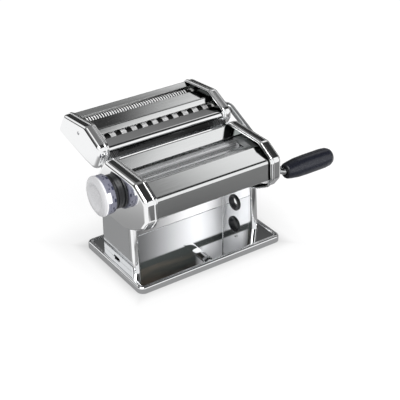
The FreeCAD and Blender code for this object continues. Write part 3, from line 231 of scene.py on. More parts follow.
chrome("chromed_sheet")
chrome("chromed_rod", (0.55, 0.56, 0.57), 0.05, 0.12)
chrome("pedestal_sheet", (0.82, 0.83, 0.84), 0.06, 0.12)
chrome("mirror_sheet", (0.84, 0.85, 0.86), 0.02, 0.05)
silvered("frame_sheet", 0.07)
silvered("lip_sheet", 0.09)
brushed("plated_steel", (0.45, 0.46, 0.47), (0.6, 0.61, 0.62), (1, 0.05, 0.05))
brushed("gear_steel", (0.35, 0.35, 0.36), (0.5, 0.5, 0.52), EVEN)
# raw_sheet: a near-black sheet; as the cheeks' inside look it is painted shade
brushed("raw_sheet", (0.03, 0.035, 0.035), (0.07, 0.075, 0.075), EVEN, 300.0,
        low=0.3, high=0.5, strength=0.05)
brushed("brushed_sheet", (0.76, 0.77, 0.77), (0.86, 0.87, 0.87), ALONG,
        low=0.09, high=0.15, strength=0.03)
brushed("panel_sheet", (0.92, 0.92, 0.93), (0.97, 0.97, 0.98), (1, 1, 0.02),
        low=0.3, high=0.42, strength=0.04, metal=0.05)
brushed("roller_aluminium", (0.7, 0.71, 0.72), (0.88, 0.89, 0.9), ALONG, metal=0.9)
brushed("cutter_metal", (0.86, 0.86, 0.86), (0.95, 0.95, 0.95), ALONG,
        low=0.28, high=0.4, strength=0.03, metal=0.55)
brushed("fine_metal", (0.95, 0.95, 0.95), (1.0, 1.0, 1.0), ALONG,
        low=0.28, high=0.4, strength=0.03, metal=0.1)
# groove_metal: near black, painted shade for the cutters' grooves between the discs
brushed("groove_metal", (0.004, 0.004, 0.004), (0.012, 0.012, 0.012), ALONG,
        low=0.55, high=0.7, strength=0.03, metal=0.2)
plastic("bush_plastic", (0.72, 0.72, 0.7), (0.8, 0.8, 0.78), 0.4, 0.55)
plastic("guide_plastic", (0.05, 0.055, 0.055), (0.09, 0.095, 0.095), 0.3, 0.45)
plastic("dark_plastic", (0.006, 0.0065, 0.008), (0.014, 0.015, 0.018), 0.28, 0.42)
plastic("dial_plastic", (0.1, 0.102, 0.135), (0.17, 0.172, 0.215), 0.3, 0.42)
plastic("cap_plastic", (0.46, 0.46, 0.47), (0.54, 0.54, 0.55), 0.2, 0.3)
plastic("foot_rubber", (0.02, 0.02, 0.02), (0.05, 0.05, 0.05), 0.6, 0.8)
plastic("label_plastic", (0.76, 0.76, 0.77), (0.84, 0.84, 0.85), 0.3, 0.4)
plastic("mark_ink", (0.008, 0.01, 0.03), (0.02, 0.022, 0.05), 0.4, 0.5)
plastic("grip_plastic", (0.003, 0.0035, 0.006), (0.009, 0.01, 0.015), 0.22, 0.32)
# painted shade on the rear panel: its colour falls toward the left, to 0.09 at x = -50 mm
shade_beside("panel_sheet", -0.05, 0.078, 0.09)
# painted shade on the rear panel above 46-48 mm; above 56-57 mm it turns to painted brown
# reflection streaks on the left, and right of 40-52 mm the lit colour comes back
shade_above("panel_sheet", 0.046, 0.048, (0.035, 0.04, 0.038), (0.0562, 0.0575), (0.04, 0.052))
# painted shade: the frame plates darken above 75-88 mm
shade_above("frame_sheet", 0.075, 0.088, (0.05, 0.056, 0.054))
# painted dark reflection: the cutter front plate darkens below 132.5-134.5 mm
shade_above("lip_sheet", 0.1345, 0.1325, (0.02, 0.022, 0.022))

slot_of = {row["node"]: row["material_slot"] for row in record["subparts"]}
for name, node in frame["nodes"].items():
    look = "frame_sheet" if name.endswith("t_frame_plate") else slot_of[name]
    node.data.materials.clear()
    node.data.materials.append(looks[look])


# ---------------------------------------------------------------- shapes

def put(name, verts, faces, look, body="frame", covers=(), sharp=None, inner=None, kinds=None):
    """A piece from millimetre points, riding on a body and standing for its CAD nodes.

    Faces whose kind is 1 take the inner look."""
    mesh = bpy.data.meshes.new(name)
    mesh.from_pydata([(x * MM, y * MM, z * MM) for x, y, z in verts], [], faces)
    if kinds:
        mesh.polygons.foreach_set("material_index", kinds)
    shape = bmesh.new()
    shape.from_mesh(mesh)
    bmesh.ops.remove_doubles(shape, verts=shape.verts, dist=1e-7)
    bmesh.ops.recalc_face_normals(shape, faces=shape.faces)
    shape.to_mesh(mesh)
    shape.free()
    mesh.polygons.foreach_set("use_smooth", [True] * len(mesh.polygons))
    if sharp is not None:
        mesh.set_sharp_from_angle(angle=math.radians(sharp))
    mesh.materials.append(looks[look])
    if inner:
        mesh.materials.append(looks[inner])
    piece = bpy.data.objects.new(name, mesh)
    bpy.context.scene.collection.objects.link(piece)
    weigh = piece.modifiers.new("weigh", "WEIGHTED_NORMAL")
    weigh.keep_sharp = True
    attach(piece, body)
    if covers:
        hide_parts(*covers)


def rounded(points, radius, steps=6, closed=True):
    """An outline with its corners turned into arcs of steps + 1 points.

    A corner is (a, b), or (a, b, radius) where it has a radius of its own."""
    made = []
    count = len(points)
    for i, point in enumerate(points):
        here = Vector(point[:2])
        if not closed and i in (0, count - 1):
            made.append(here)
            continue
        wanted = point[2] if len(point) > 2 else radius
        back = Vector(points[i - 1][:2]) - here
        ahead = Vector(points[(i + 1) % count][:2]) - here
        half_turn = (math.pi - back.angle(ahead)) / 2
        if half_turn < 1e-4:
            made += [here] * (steps + 1)
            continue
        room = 0.49 * min(back.length, ahead.length) / math.tan(half_turn)
        curve = max(min(wanted, room), 1e-4)
        back.normalize()
        ahead.normalize()
        centre = here + (back + ahead).normalized() * curve / math.cos(half_turn)
        one = here + back * curve * math.tan(half_turn) - centre
        other = here + ahead * curve * math.tan(half_turn) - centre
        swing = one.angle_signed(other)
        for k in range(steps + 1):
            turn = -swing * k / steps
            made.append(centre + Vector((one.x * math.cos(turn) - one.y * math.sin(turn),
                                         one.x * math.sin(turn) + one.y * math.cos(turn))))
    return made


def inset(points, amount):
    """A closed outline moved inwards by an amount, mitred."""
    count = len(points)
    spots = [Vector(point[:2]) for point in points]
    area = sum(spots[i - 1].x * spots[i].y - spots[i].x * spots[i - 1].y for i in range(count))
    way = 1 if area > 0 else -1
    made = []
    for i in range(count):
        before = (spots[i] - spots[i - 1]).normalized()
        after = (spots[(i + 1) % count] - spots[i]).normalized()
        one = Vector((-before.y, before.x)) * way
        other = Vector((-after.y, after.x)) * way
        made.append(spots[i] + (one + other) * (amount / (1 + one.dot(other))))
    return made


def circle(x, y, z, radius, segments):
    """Points round the X axis through (y, z)."""
    turns = [2 * math.pi * i / segments for i in range(segments)]
    return [(x, y + radius * math.cos(turn), z + radius * math.sin(turn)) for turn in turns]


def loft(rings, first_cap=True, last_cap=True, closed=True):
    """Faces over rings of equal length."""
    verts = [tuple(v) for ring in rings for v in ring]
    size = len(rings[0])
    faces = []
    for j in range(len(rings) - 1):
        for i in range(size if closed else size - 1):
            k = (i + 1) % size
            faces.append((j * size + i, j * size + k, (j + 1) * size + k, (j + 1) * size + i))
    if first_cap:
        faces.append(tuple(range(size - 1, -1, -1)))
    if last_cap:
        faces.append(tuple((len(rings) - 1) * size + i for i in range(size)))
    return verts, faces


def lathe(name, profile, axis, look, body, covers=(), soft=0.25, segments=96, steps=3,
          groove=0.0, inner=None):
    """A piece revolved about the X axis through (y, z), from (x, radius) points on the outside.

    A profile that starts and ends off the axis leaves a bore.
    Where the radius is under the groove radius the surface takes the inner look, which the cutters
    use as painted shade in their grooves."""
    line = rounded(profile, soft, steps, closed=False)
    rings = [circle(x, *axis, max(radius, 0.0), segments) for x, radius in line]
    bored = min(line[0][1], line[-1][1]) > 0
    if bored:
        rings.append(rings[0])
    verts, faces = loft(rings, not bored, not bored)
    kinds = None
    if inner:
        deep = [radius < groove for x, radius in line]
        kinds = [int(deep[j] or deep[j + 1]) for j in range(len(rings) - 1)
                 for i in range(segments)] + [0, 0]
    put(name, verts, faces, look, body, covers, inner=inner, kinds=kinds)


SHEET_REACH = 82.8  # the folded sheets' ends, inside the cheeks
SHEET_EDGE = 0.15


def strip(name, path, body, covers, look="brushed_sheet", inner=None, reach=SHEET_REACH):
    """A folded strip with rolled edges, run along X between -reach and reach.

    The inner look, if any, is on the side that lies on the right of the path."""
    gauge, fold, edge_steps = 1.0, 1.6, 6
    line = rounded(path, fold, 8, closed=False)
    line = [p for i, p in enumerate(line) if i == 0 or (p - line[i - 1]).length > 1e-4]
    half = gauge / 2
    normals = []
    for i in range(len(line)):
        ahead = line[min(i + 1, len(line) - 1)] - line[max(i - 1, 0)]
        normals.append(Vector((-ahead.y, ahead.x)).normalized())
    section = [p + n * half for p, n in zip(line, normals)]
    for end, point, normal in ((1, line[-1], normals[-1]), (-1, line[0], normals[0])):
        out = Vector((normal.y, -normal.x)) * end
        lead = normal * end
        for k in range(1, edge_steps):
            swing = math.pi * k / edge_steps
            section.append(point + lead * half * math.cos(swing) + out * half * math.sin(swing))
        if end == 1:
            section += [p - n * half for p, n in zip(reversed(line), reversed(normals))]
    rings = []
    for x in (-reach, -reach + SHEET_EDGE, reach - SHEET_EDGE, reach):
        rings.append([(x, p.x, p.y) for p in section])
    kinds = None
    if inner:
        size = len(section)
        kinds = [int(size // 2 <= i < size - edge_steps) for j in range(len(rings) - 1)
                 for i in range(size)] + [0, 0]
    put(name, *loft(rings), look, body, covers, sharp=50, inner=inner, kinds=kinds)


def fill_between(verts, faces, outer, holes):
    """Triangles between an outer loop of vertex numbers and hole loops, all in one plane."""
    shape = bmesh.new()
    numbers = list(outer) + [i for hole in holes for i in hole]
    made = {i: shape.verts.new(verts[i]) for i in numbers}
    rim = []
    for loop in [outer] + list(holes):
        for i in range(len(loop)):
            rim.append(shape.edges.new((made[loop[i]], made[loop[(i + 1) % len(loop)]])))
    done = bmesh.ops.triangle_fill(shape, use_beauty=True, use_dissolve=False, edges=rim)
    back = {vert: i for i, vert in made.items()}
    for item in done["geom"]:
        if isinstance(item, bmesh.types.BMFace):
            faces.append(tuple(back[v] for v in item.verts))
    shape.free()


def punch(verts, faces, rim_size, planes, holes, segments):
    """Close an uncapped loft whose ends lie in two X planes, leaving round holes through it.

    The number of new faces is given for all but the last end, and for the last end."""
    before = len(faces)
    ends = (range(rim_size), range(len(verts) - rim_size, len(verts)))
    loops = []
    for x in planes:
        loops.append([])
        for y, z, radius in holes:
            start = len(verts)
            verts.extend(circle(x, y, z, radius, segments))
            loops[-1].append(list(range(start, start + segments)))
    for one, other in zip(*loops):
        for i in range(segments):
            k = (i + 1) % segments
            faces.append((one[i], one[k], other[k], other[i]))
    fill_between(verts, faces, list(ends[0]), loops[0])
    middle = len(faces)
    fill_between(verts, faces, list(ends[1]), loops[1])
    return middle - before, len(faces) - middle


def plate(name, outline, x_from, x_to, look, covers=(), holes=(), corner=0.0, edge=0.25,
          sharp=50):
    """A flat plate of the frame between two X planes, with small rounded edges."""
    section = []
    for k in range(4):
        turn = math.pi / 2 * k / 3
        section.append((x_from + edge * (1 - math.cos(turn)), edge * (1 - math.sin(turn))))
    section += [(x_from + x_to - x, depth) for x, depth in reversed(section)]
    rings = []
    for x, depth in section:
        ring = inset(outline, depth)
        if corner:
            ring = rounded([(*p, max(corner - depth, 0.1)) for p in ring], corner, 5)
        rings.append([(x, p.x, p.y) for p in ring])
    verts, faces = loft(rings, not holes, not holes)
    if holes:
        punch(verts, faces, len(rings[0]), (x_from, x_to), holes, 64)
    put(name, verts, faces, look, "frame", covers, sharp=sharp)


# ---------------------------------------------------------------- cheeks

CHEEK_FACE = 91.0
CHEEK_GAUGE = 1.2


def cheek_section(depth):
    """(height, inset) points of a cheek: crown, beaded flange, and back up the inside.

    With them comes the number of the last outside point."""
    crown, bead, proud = 5.0, 3.0, 1.1
    rings = []
    for k in range(10):
        turn = math.pi / 2 * k / 9
        rings.append((crown * (1 - math.cos(turn)), crown * (1 - math.sin(turn))))
    rings.append((depth - 5.4, 0.0))
    for k in range(13):
        turn = math.pi * k / 12
        rings.append((depth - 5 + bead / 2 - bead / 2 * math.cos(turn),
                      -proud * math.sin(turn) ** 0.7))
    rings += [(depth - 1.6, 0.0), (depth - 0.6, 0.0), (depth - 0.15, 0.2), (depth, 0.6)]
    outside = len(rings) - 1
    rings.append((depth, CHEEK_GAUGE))
    tight = crown - CHEEK_GAUGE
    for k in range(6):
        turn = math.pi / 2 * (5 - k) / 5
        rings.append((CHEEK_GAUGE + tight * (1 - math.cos(turn)),
                      CHEEK_GAUGE + tight * (1 - math.sin(turn))))
    return rings, outside


def cut_below(verts, faces, kinds, level):
    """The part of a shape above a level, closed along the cut."""
    shape = bmesh.new()
    made = [shape.verts.new(v) for v in verts]
    for item, kind in zip(faces, kinds):
        shape.faces.new([made[i] for i in item]).material_index = kind
    everything = shape.verts[:] + shape.edges[:] + shape.faces[:]
    sliced = bmesh.ops.bisect_plane(shape, geom=everything, plane_co=(0, 0, level),
                                    plane_no=(0, 0, -1), clear_outer=True)
    rim = [item for item in sliced["geom_cut"] if isinstance(item, bmesh.types.BMEdge)]
    bmesh.ops.contextual_create(shape, geom=rim)
    shape.verts.index_update()
    verts = [tuple(v.co) for v in shape.verts]
    faces = [tuple(v.index for v in item.verts) for item in shape.faces]
    kinds = [item.material_index for item in shape.faces]
    shape.free()
    return verts, faces, kinds


def cheek(name, outline, corner, depth, side, holes, body, level=None):
    """A pressed cheek: flat face, rounded crown, flange with a rolled bead, and painted shade
    inside: a near-black look.
    """
    section, outside = cheek_section(depth)
    rings = []
    for height, amount in section:
        turned = [(*p, max(corner - amount, 0.3)) for p in inset(outline, amount)]
        ring = rounded(turned, corner, 8)
        rings.append([((CHEEK_FACE - height) * side, p.x, p.y) for p in ring])
    size = len(rings[0])
    verts, faces = loft(rings, not holes, not holes)
    kinds = [int(j >= outside) for j in range(len(rings) - 1) for i in range(size)]
    if holes:
        planes = (CHEEK_FACE * side, (CHEEK_FACE - CHEEK_GAUGE) * side)
        front, back = punch(verts, faces, size, planes, holes, 48)
        kinds += [0] * front + [1] * back
    else:
        kinds += [0, 1]
    if level is not None:
        verts, faces, kinds = cut_below(verts, faces, kinds, level)
    # the inside faces take the near-black raw_sheet look: painted shade
    put(name + "_skin", verts, faces, "chromed_sheet", body, [name], sharp=40,
        inner="raw_sheet", kinds=kinds)


MAIN_CHEEK = [(22, 130), (-41.5, 130), (-64.5, 117.2), (-66, 92), (-57, 80), (-40, 70), (-16, 60),
              (39, 60), (39, 106)]
CUTTER_CHEEK = [(126.5, 127), (113, 149.5), (62, 154.5), (31.2, 140.5), (30, 130), (41, 110.5),
                (47.5, 108.5), (64, 110.1), (123.5, 122)]
HEAD_FOOT = 65
FRONT_AXIS = (-25.194, 103.912)
REAR_AXIS = (3.0, 100.5)
WIDE_REAR = (62.2, 129.4)
WIDE_FRONT = (46.0, 129.4)
FINE_FRONT = (87.7, 132.4)
FINE_REAR = (105.3, 132.4)
GRIP_AXIS = (-44.21, 82.468)
SPINDLE_HOLE = 8.05
CRANK_HOLE = 7.2

cheek("left_cheek", MAIN_CHEEK, 9.0, 16, -1, [(*REAR_AXIS, SPINDLE_HOLE)], "frame", HEAD_FOOT)
cheek("right_cheek", MAIN_CHEEK, 9.0, 16, 1, [(*FRONT_AXIS, CRANK_HOLE)], "frame", HEAD_FOOT)
cheek("cutter_left_cheek", CUTTER_CHEEK, 8.5, 14, -1, [], "cutter_head")
cheek("cutter_right_cheek", CUTTER_CHEEK, 8.5, 14, 1,
      [(*WIDE_REAR, CRANK_HOLE), (*FINE_FRONT, CRANK_HOLE)], "cutter_head")

# ---------------------------------------------------------------- folded sheets

strip("rear_panel_skin", [(23.21, 123.69), (35.891, 105.712), (35.891, 7.9)],
      "frame", ["rear_panel"], "chromed_sheet", "panel_sheet", 82.1)
strip("feed_plate_skin", [(22.2, 124.9), (21.1, 126.3), (11.9, 115.2)], "frame", ["feed_plate"])
strip("front_fascia_skin", [(-34.5, 120.6), (-36.5, 123.2), (-61.2, 115.5, 4.5), (-62.5, 92),
                            (-59.8, 90.6)], "frame", ["front_fascia"])
strip("cutter_rear_skin", [(104.1, 145.1), (111.8, 148.0), (123.1, 127.9), (121.0, 124.9)],
      "cutter_head", ["cutter_rear_plate"])
strip("cutter_middle_skin", [(91.0, 141.9), (89.6, 144.1), (62.7, 146.3), (58.9, 141.5)],
      "cutter_head", ["cutter_middle_plate"])
strip("cutter_front_skin", [(48.6, 139.3), (28.82, 137.07, 4.5), (41.907, 118.522)],
      "cutter_head", ["cutter_front_plate"], "lip_sheet")

# ---------------------------------------------------------------- pedestal and base

FOOT = 7.4  # top of the base's plate
PEDESTAL_FACE = 87
LUG = (12.0, 23.0, 8.8)


def pedestal(name, side, holes):
    """A pedestal cover: leaning, rounded front column, flat skin and rear lip."""
    inner, roundness, column_top, top, rear = 78, 4.3, 64.7, 70, 37.4
    rings = []
    for z, front, back in ((FOOT, -31.8, -23.0), (column_top, -26.2, -19.2)):
        section = [(inner, back, 0.4), (PEDESTAL_FACE, back, 0.4),
                   (PEDESTAL_FACE, front, roundness), (inner, front, roundness)]
        rings.append([(p.x * side, p.y, z) for p in rounded(section, roundness, 10)])
    put(name + "_column", *loft(rings), "chromed_sheet", "frame", [name + "_cover"], sharp=50)
    skin = [(-23.8, FOOT), (2, FOOT), (3, 10), (14, 10), (15, FOOT), (rear, FOOT), (rear, top),
            (-17.2, top), (-20.2, column_top)]
    lip = [(rear - 1, FOOT), (rear, FOOT), (rear, top), (rear - 1, top)]
    for part, outline, gauge, openings in (("_skin", skin, 1, holes), ("_lip", lip, 2, [])):
        low, high = sorted((PEDESTAL_FACE * side, (PEDESTAL_FACE - gauge) * side))
        plate(name + part, outline, low, high, "pedestal_sheet", holes=openings)


pedestal("left_pedestal", -1, [])
pedestal("right_pedestal", 1, [LUG])


def base():
    """The pressed tray: skirt, rolled rim and mirror-flat top."""
    half_w, half_d, top, rim = 98.0, 61.2, 9.0, 2.65
    outline = [(half_w, half_d), (-half_w, half_d), (-half_w, -half_d), (half_w, -half_d)]
    section = [(1.2, 6.2), (1.2, 0.9), (0.6, 0.5), (0.0, 0.9)]
    for k in range(9):
        turn = math.pi / 2 * k / 8
        section.append((rim * (1 - math.cos(turn)), top - rim * (1 - math.sin(turn))))
    for k in range(1, 7):
        turn = math.pi / 2 * k / 6 * 0.8
        section.append((rim + 0.2 + rim * math.sin(turn), top - rim * (1 - math.cos(turn))))
    section += [(5.7, FOOT), (6.6, FOOT)]
    rings = []
    for amount, z in section:
        corner = max(8.0 - amount, 0.6)
        turned = [(*p, corner) for p in inset(outline, amount)]
        rings.append([(p.x, p.y, z) for p in rounded(turned, corner, 10)])
    put("base_skin", *loft(rings), "mirror_sheet", "frame", ["base_plate"])


def clamp_rib():
    """A rib with domed ends, pressed up from the base and rising to its front half."""
    centre, start, length, dome = -3, -10, 45, 5.0
    half, rise, crest, count = 6.0, 2.6, 10, 24
    rings = []
    for j in range(count + 1):
        y = start - length * (j / count)
        near = min(y + length - start, start - y)
        grow = max(math.sqrt(max(0.0, 1 - (1 - min(near / dome, 1)) ** 2)), 0.02)
        ramp = 0.12 + 0.88 * min(max((-y - 26) / 12, 0), 1) ** 1.5
        ring = []
        for i in range(crest * 2 + 1):
            turn = math.pi * i / (crest * 2)
            high = 7.3 + (rise * ramp + 0.1) * grow * math.sin(turn) ** 0.8
            ring.append((centre - half * math.cos(turn), y, high))
        rings.append(ring)
    put("clamp_rib", *loft(rings, False, False, closed=False), "mirror_sheet")


def screw(name, x, y, foot, radius):
    """A low domed screw head, its axis upright."""
    rings = []
    for k in range(7):
        turn = math.pi / 2 * k / 6
        ring = circle(0, 0, 0, radius * max(math.cos(turn), 0.05), 32)
        rings.append([(x + a, y + b, foot + 0.55 * radius * math.sin(turn)) for c, a, b in ring])
    put(name, *loft(rings), "plated_steel")


base()
clamp_rib()
screw("base_screw", 54.0, -31.0, 7.3, 2.3)
lathe("cheek_screw", [(-91.05, 2.0), (-91.5, 1.7), (-91.6, 1.0), (-91.2, 0.7), (-91.2, 0)],
      (76.5, 141.0), "gear_steel", "cutter_head", [], 0.1, 32)

# ---------------------------------------------------------------- rollers

ROLLER_REACH = 75
SOCKET = [(90.6, 6), (90.6, 4.05), (76.6, 4.05), (76.6, 0)]  # a driven end, open for the crank


def shaft(left, core, barrel, right):
    """A shaft's outline: stub and journal, the barrel with its core, and the right end."""
    return [(left, 0), (left, 4), (-85, 4), (-85, 6), (-ROLLER_REACH, 6), (-ROLLER_REACH, core),
            *barrel, (ROLLER_REACH, core), (ROLLER_REACH, 6), *right]


lathe("front_roller_skin", shaft(-85.4, 14, [], SOCKET),
      FRONT_AXIS, "roller_aluminium", "front_roller", ["front_roller"])
lathe("rear_roller_skin", shaft(-85.4, 14, [], [(89.2, 6), (89.2, 0)]),
      REAR_AXIS, "roller_aluminium", "rear_roller", ["rear_roller"])

# pitch, disc width, core, radius, radius under which painted shade darkens it, look, corner,
# segments, steps
CUTTERS = {"wide": (14.1, 6.9, 7.2, 8.7, 8.4, "cutter_metal", 0.12, 72, 2),
           "fine": (3.4, 1.7, 7.3, 8.6, 8.55, "fine_metal", 0.1, 64, 1)}


def cutter(kind, place, role, axis, count, first):
    """A cutting roller of evenly spaced discs, the first one centred at first."""
    pitch, width, core, radius, groove, look, soft, segments, steps = CUTTERS[kind]
    discs = []
    for i in range(count):
        middle = first + pitch * i
        discs += [(middle - width / 2, core), (middle - width / 2, radius),
                  (middle + width / 2, radius), (middle + width / 2, core)]
    right = SOCKET if role == "driven" else [(85.4, 6), (85.4, 0)]
    name = f"{kind}_cutter_{place}"
    lathe(name + "_skin", shaft(-89.2, core, discs, right), axis, look, f"{kind}_cutter_{role}",
          [name], soft, segments, steps, groove, "groove_metal")


cutter("wide", "rear", "driven", WIDE_REAR, 11, -70.5)
cutter("wide", "front", "mate", WIDE_FRONT, 10, -63.45)
cutter("fine", "front", "driven", FINE_FRONT, 44, -73.1)
cutter("fine", "rear", "mate", FINE_REAR, 43, -71.4)

GUIDE = [(-35.19, 112.7), (-29.19, 119.3), (-13.19, 121.3), (6.8, 116.4), (10.8, 112.7)]
for side, low, high in (("left", -SHEET_REACH, -75.4), ("right", 75.4, SHEET_REACH)):
    plate(f"{side}_end_guide_skin", GUIDE, low, high, "guide_plastic", [side + "_end_guide"],
          corner=3.0, edge=0.6, sharp=60)

# ---------------------------------------------------------------- regulator

lathe("regulator_collar_skin",
      [(-98.5, 8.05), (-98.5, 20.4), (-96.2, 20.4), (-95.6, 18.6), (-94.4, 18.6), (-93.8, 19.8),
       (-91, 19.8), (-91, 8.05)],
      REAR_AXIS, "dark_plastic", "frame", ["regulator_collar"], 0.35)
lathe("regulator_dial_skin",
      [(-109.4, 5.05), (-109.4, 22.9), (-107.4, 22.9), (-107.0, 22.1), (-106.2, 22.1),
       (-105.8, 22.5), (-99.4, 22.5), (-98.8, 21.8), (-98.8, 5.05)],
      REAR_AXIS, "dial_plastic", "regulator_knob", ["regulator_dial"], 0.2)
lathe("regulator_cap_skin",
      [(-111.6, 0), (-111.8, 9, 6), (-112.3, 12.2, 3), (-113.7, 15.6, 1.2), (-113.7, 17.4, 1.2),
       (-112.9, 20.3, 2.5), (-111.2, 23.1, 1.0), (-109.5, 23.4), (-109.1, 23.0), (-109.1, 5.05),
       (-109.5, 5.05), (-109.5, 0)],
      REAR_AXIS, "cap_plastic", "regulator_knob", ["regulator_cap"], 0.4, 128, 6)


def on_drum(x, turn, radius, along, around, out):
    """A block bent round the regulator, centred at an angle from straight back."""
    rings = []
    for reach in (radius, radius + out):
        ring = []
        for side in (-1, 1):
            for i in range(9):
                angle = turn - side * around * (i / 8 - 0.5)
                ring.append((x + side * along / 2, REAR_AXIS[0] + reach * math.cos(angle),
                             REAR_AXIS[1] + reach * math.sin(angle)))
        rings.append(ring)
    return loft(rings)


def number(text, x, turn, radius, height):
    """A raised numeral on the drum, lying flat on its tangent plane."""
    curve = bpy.data.curves.new("numeral", "FONT")
    curve.body = text
    curve.size = height * MM
    curve.extrude = 0.1 * MM
    curve.offset = 0.1 * MM
    curve.align_x = "CENTER"
    curve.align_y = "CENTER"
    holder = bpy.data.objects.new("numeral", curve)
    bpy.context.scene.collection.objects.link(holder)
    solid = holder.evaluated_get(bpy.context.evaluated_depsgraph_get())
    mesh = bpy.data.meshes.new_from_object(solid)
    bpy.data.objects.remove(holder)
    out = Vector((0, math.cos(turn), math.sin(turn)))
    up = Vector((0, -math.sin(turn), math.cos(turn)))
    right = up.cross(out)
    middle = Vector((x * MM, REAR_AXIS[0] * MM, REAR_AXIS[1] * MM)) + out * radius * MM
    for vert in mesh.vertices:
        vert.co = middle + right * vert.co.x + up * vert.co.y + out * vert.co.z
    mesh.materials.clear()
    mesh.materials.append(looks["mark_ink"])
    piece = bpy.data.objects.new("dial_number_" + text, mesh)
    bpy.context.scene.collection.objects.link(piece)
    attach(piece, "regulator_knob")


DRUM = 22.4
FIRST_NUMBER = 198  # degrees from straight back
NUMBERS = range(10)
turns = [math.radians(FIRST_NUMBER - 36 * k) for k in NUMBERS]
for k in NUMBERS:
    for kind, x, along, around in (("mark", -104.6, 1.4, 0.07), ("step", -100.6, 2.2, 0.17)):
        put(f"dial_{kind}_{k}", *on_drum(x, turns[k] + 0.2, DRUM, along, around, 0.25),
            "mark_ink", "regulator_knob", sharp=30)
put("dial_window", *on_drum(-107.2, math.radians(162), DRUM - 0.2, 4.0, 0.5, 1.5),
    "label_plastic", "regulator_knob", sharp=30)
for k in NUMBERS:
    number(str(k), -102.6, turns[k], DRUM + 0.15, 4.2)


# ---------------------------------------------------------------- crank

def tube(name, path, radius, look, body, covers, segments=40):
    """A round rod along a path of points, with slightly rounded ends."""
    spots = [Vector(p) for p in path]
    frames = []
    side = Vector((0, 0, 1))
    for i, spot in enumerate(spots):
        ahead = (spots[min(i + 1, len(spots) - 1)] - spots[max(i - 1, 0)]).normalized()
        side = (side - ahead * side.dot(ahead)).normalized()
        frames.append((spot, ahead, side, ahead.cross(side)))

    def ring(spot, one, other, reach):
        turns = [2 * math.pi * i / segments for i in range(segments)]
        return [tuple(spot + one * (reach * math.cos(turn)) + other * (reach * math.sin(turn)))
                for turn in turns]

    def end(spot, inward, one, other):
        soft = 0.5
        made = []
        for k in range(4):
            turn = math.pi / 2 * k / 3
            made.append(ring(spot + inward * soft * (1 - math.sin(turn)), one, other,
                             radius - soft * (1 - math.cos(turn))))
        return made

    spot, ahead, one, other = frames[0]
    rings = end(spot, ahead, one, other)[::-1]
    rings += [ring(spot, one, other, radius) for spot, ahead, one, other in frames[1:-1]]
    spot, ahead, one, other = frames[-1]
    rings += end(spot, -ahead, one, other)
    put(name, *loft(rings), look, body, covers, sharp=60)


def bend(before, corner, after, radius, steps=14):
    """Points of an arc that turns a square corner between two straight runs."""
    one = (Vector(before) - Vector(corner)).normalized()
    other = (Vector(after) - Vector(corner)).normalized()
    centre = Vector(corner) + (one + other) * radius
    made = []
    for k in range(steps + 1):
        turn = math.pi / 2 * k / steps
        made.append(tuple(centre - other * radius * math.cos(turn)
                          - one * radius * math.sin(turn)))
    return made


CRANK_PLANE = 107.5
CRANK_BEND = 7.5
CRANK_ROD = 4.0
start = (77.6, *WIDE_REAR)
low_corner = (CRANK_PLANE, *WIDE_REAR)
high_corner = (CRANK_PLANE, *GRIP_AXIS)
finish = (180.8, *GRIP_AXIS)
tube("crank_rod_skin", [start, *bend(start, low_corner, high_corner, CRANK_BEND),
                        *bend(low_corner, high_corner, finish, CRANK_BEND), finish],
     CRANK_ROD, "chromed_rod", "crank", ["crank_rod"])
lathe("crank_grip_skin",
      [(115.4, 4.05), (115.4, 5.0), (113.2, 5.0), (113.2, 8.4), (114.4, 9.2), (118.2, 10.1, 8),
       (129.2, 11.6, 30), (141.2, 12, 30), (168.2, 12, 12), (176.2, 11.2, 8), (180.2, 9.2, 3),
       (182.2, 6.8), (179.6, 6.8), (179.6, 4.05)],
      GRIP_AXIS, "grip_plastic", "grip", ["crank_grip"], 0.6, 96, 5)

# ---------------------------------------------------------------- camera and lamps

scene = bpy.context.scene
scene.view_settings.view_transform = "Standard"


def aimed(name, data, place, target):
    """An object at a place, turned to look at a target."""
    made = bpy.data.objects.new(name, data)
    scene.collection.objects.link(made)
    made.location = place
    aim = Vector(target) - made.location
    made.rotation_euler = aim.to_track_quat("-Z", "Y").to_euler()
    return made


lens = bpy.data.cameras.new("camera")
lens.sensor_width = 36.0
lens.lens = 95.13
lens.clip_end = 20.0
scene.camera = aimed("camera", lens, (-0.5814, -0.8754, 0.6861), (0.0307, 0.0110, 0.0444))


def area_light(name, place, target, width, height, power):
    data = bpy.data.lights.new(name, "AREA")
    data.shape = "RECTANGLE"
    data.size = width
    data.size_y = height
    data.energy = power
    return aimed(name, data, place, target)


area_light("key", (-0.9, -0.5, 1.5), (0, 0, 0.08), 1.2, 1.2, 22)
area_light("fill", (1.3, -0.9, 1.0), (0, 0, 0.08), 1.0, 1.0, 9).visible_glossy = False
area_light("low", (0.35, -1.2, 0.35), (0, 0, 0.04), 0.8, 0.5, 27).visible_glossy = False


# ---------------------------------------------------------------- studio

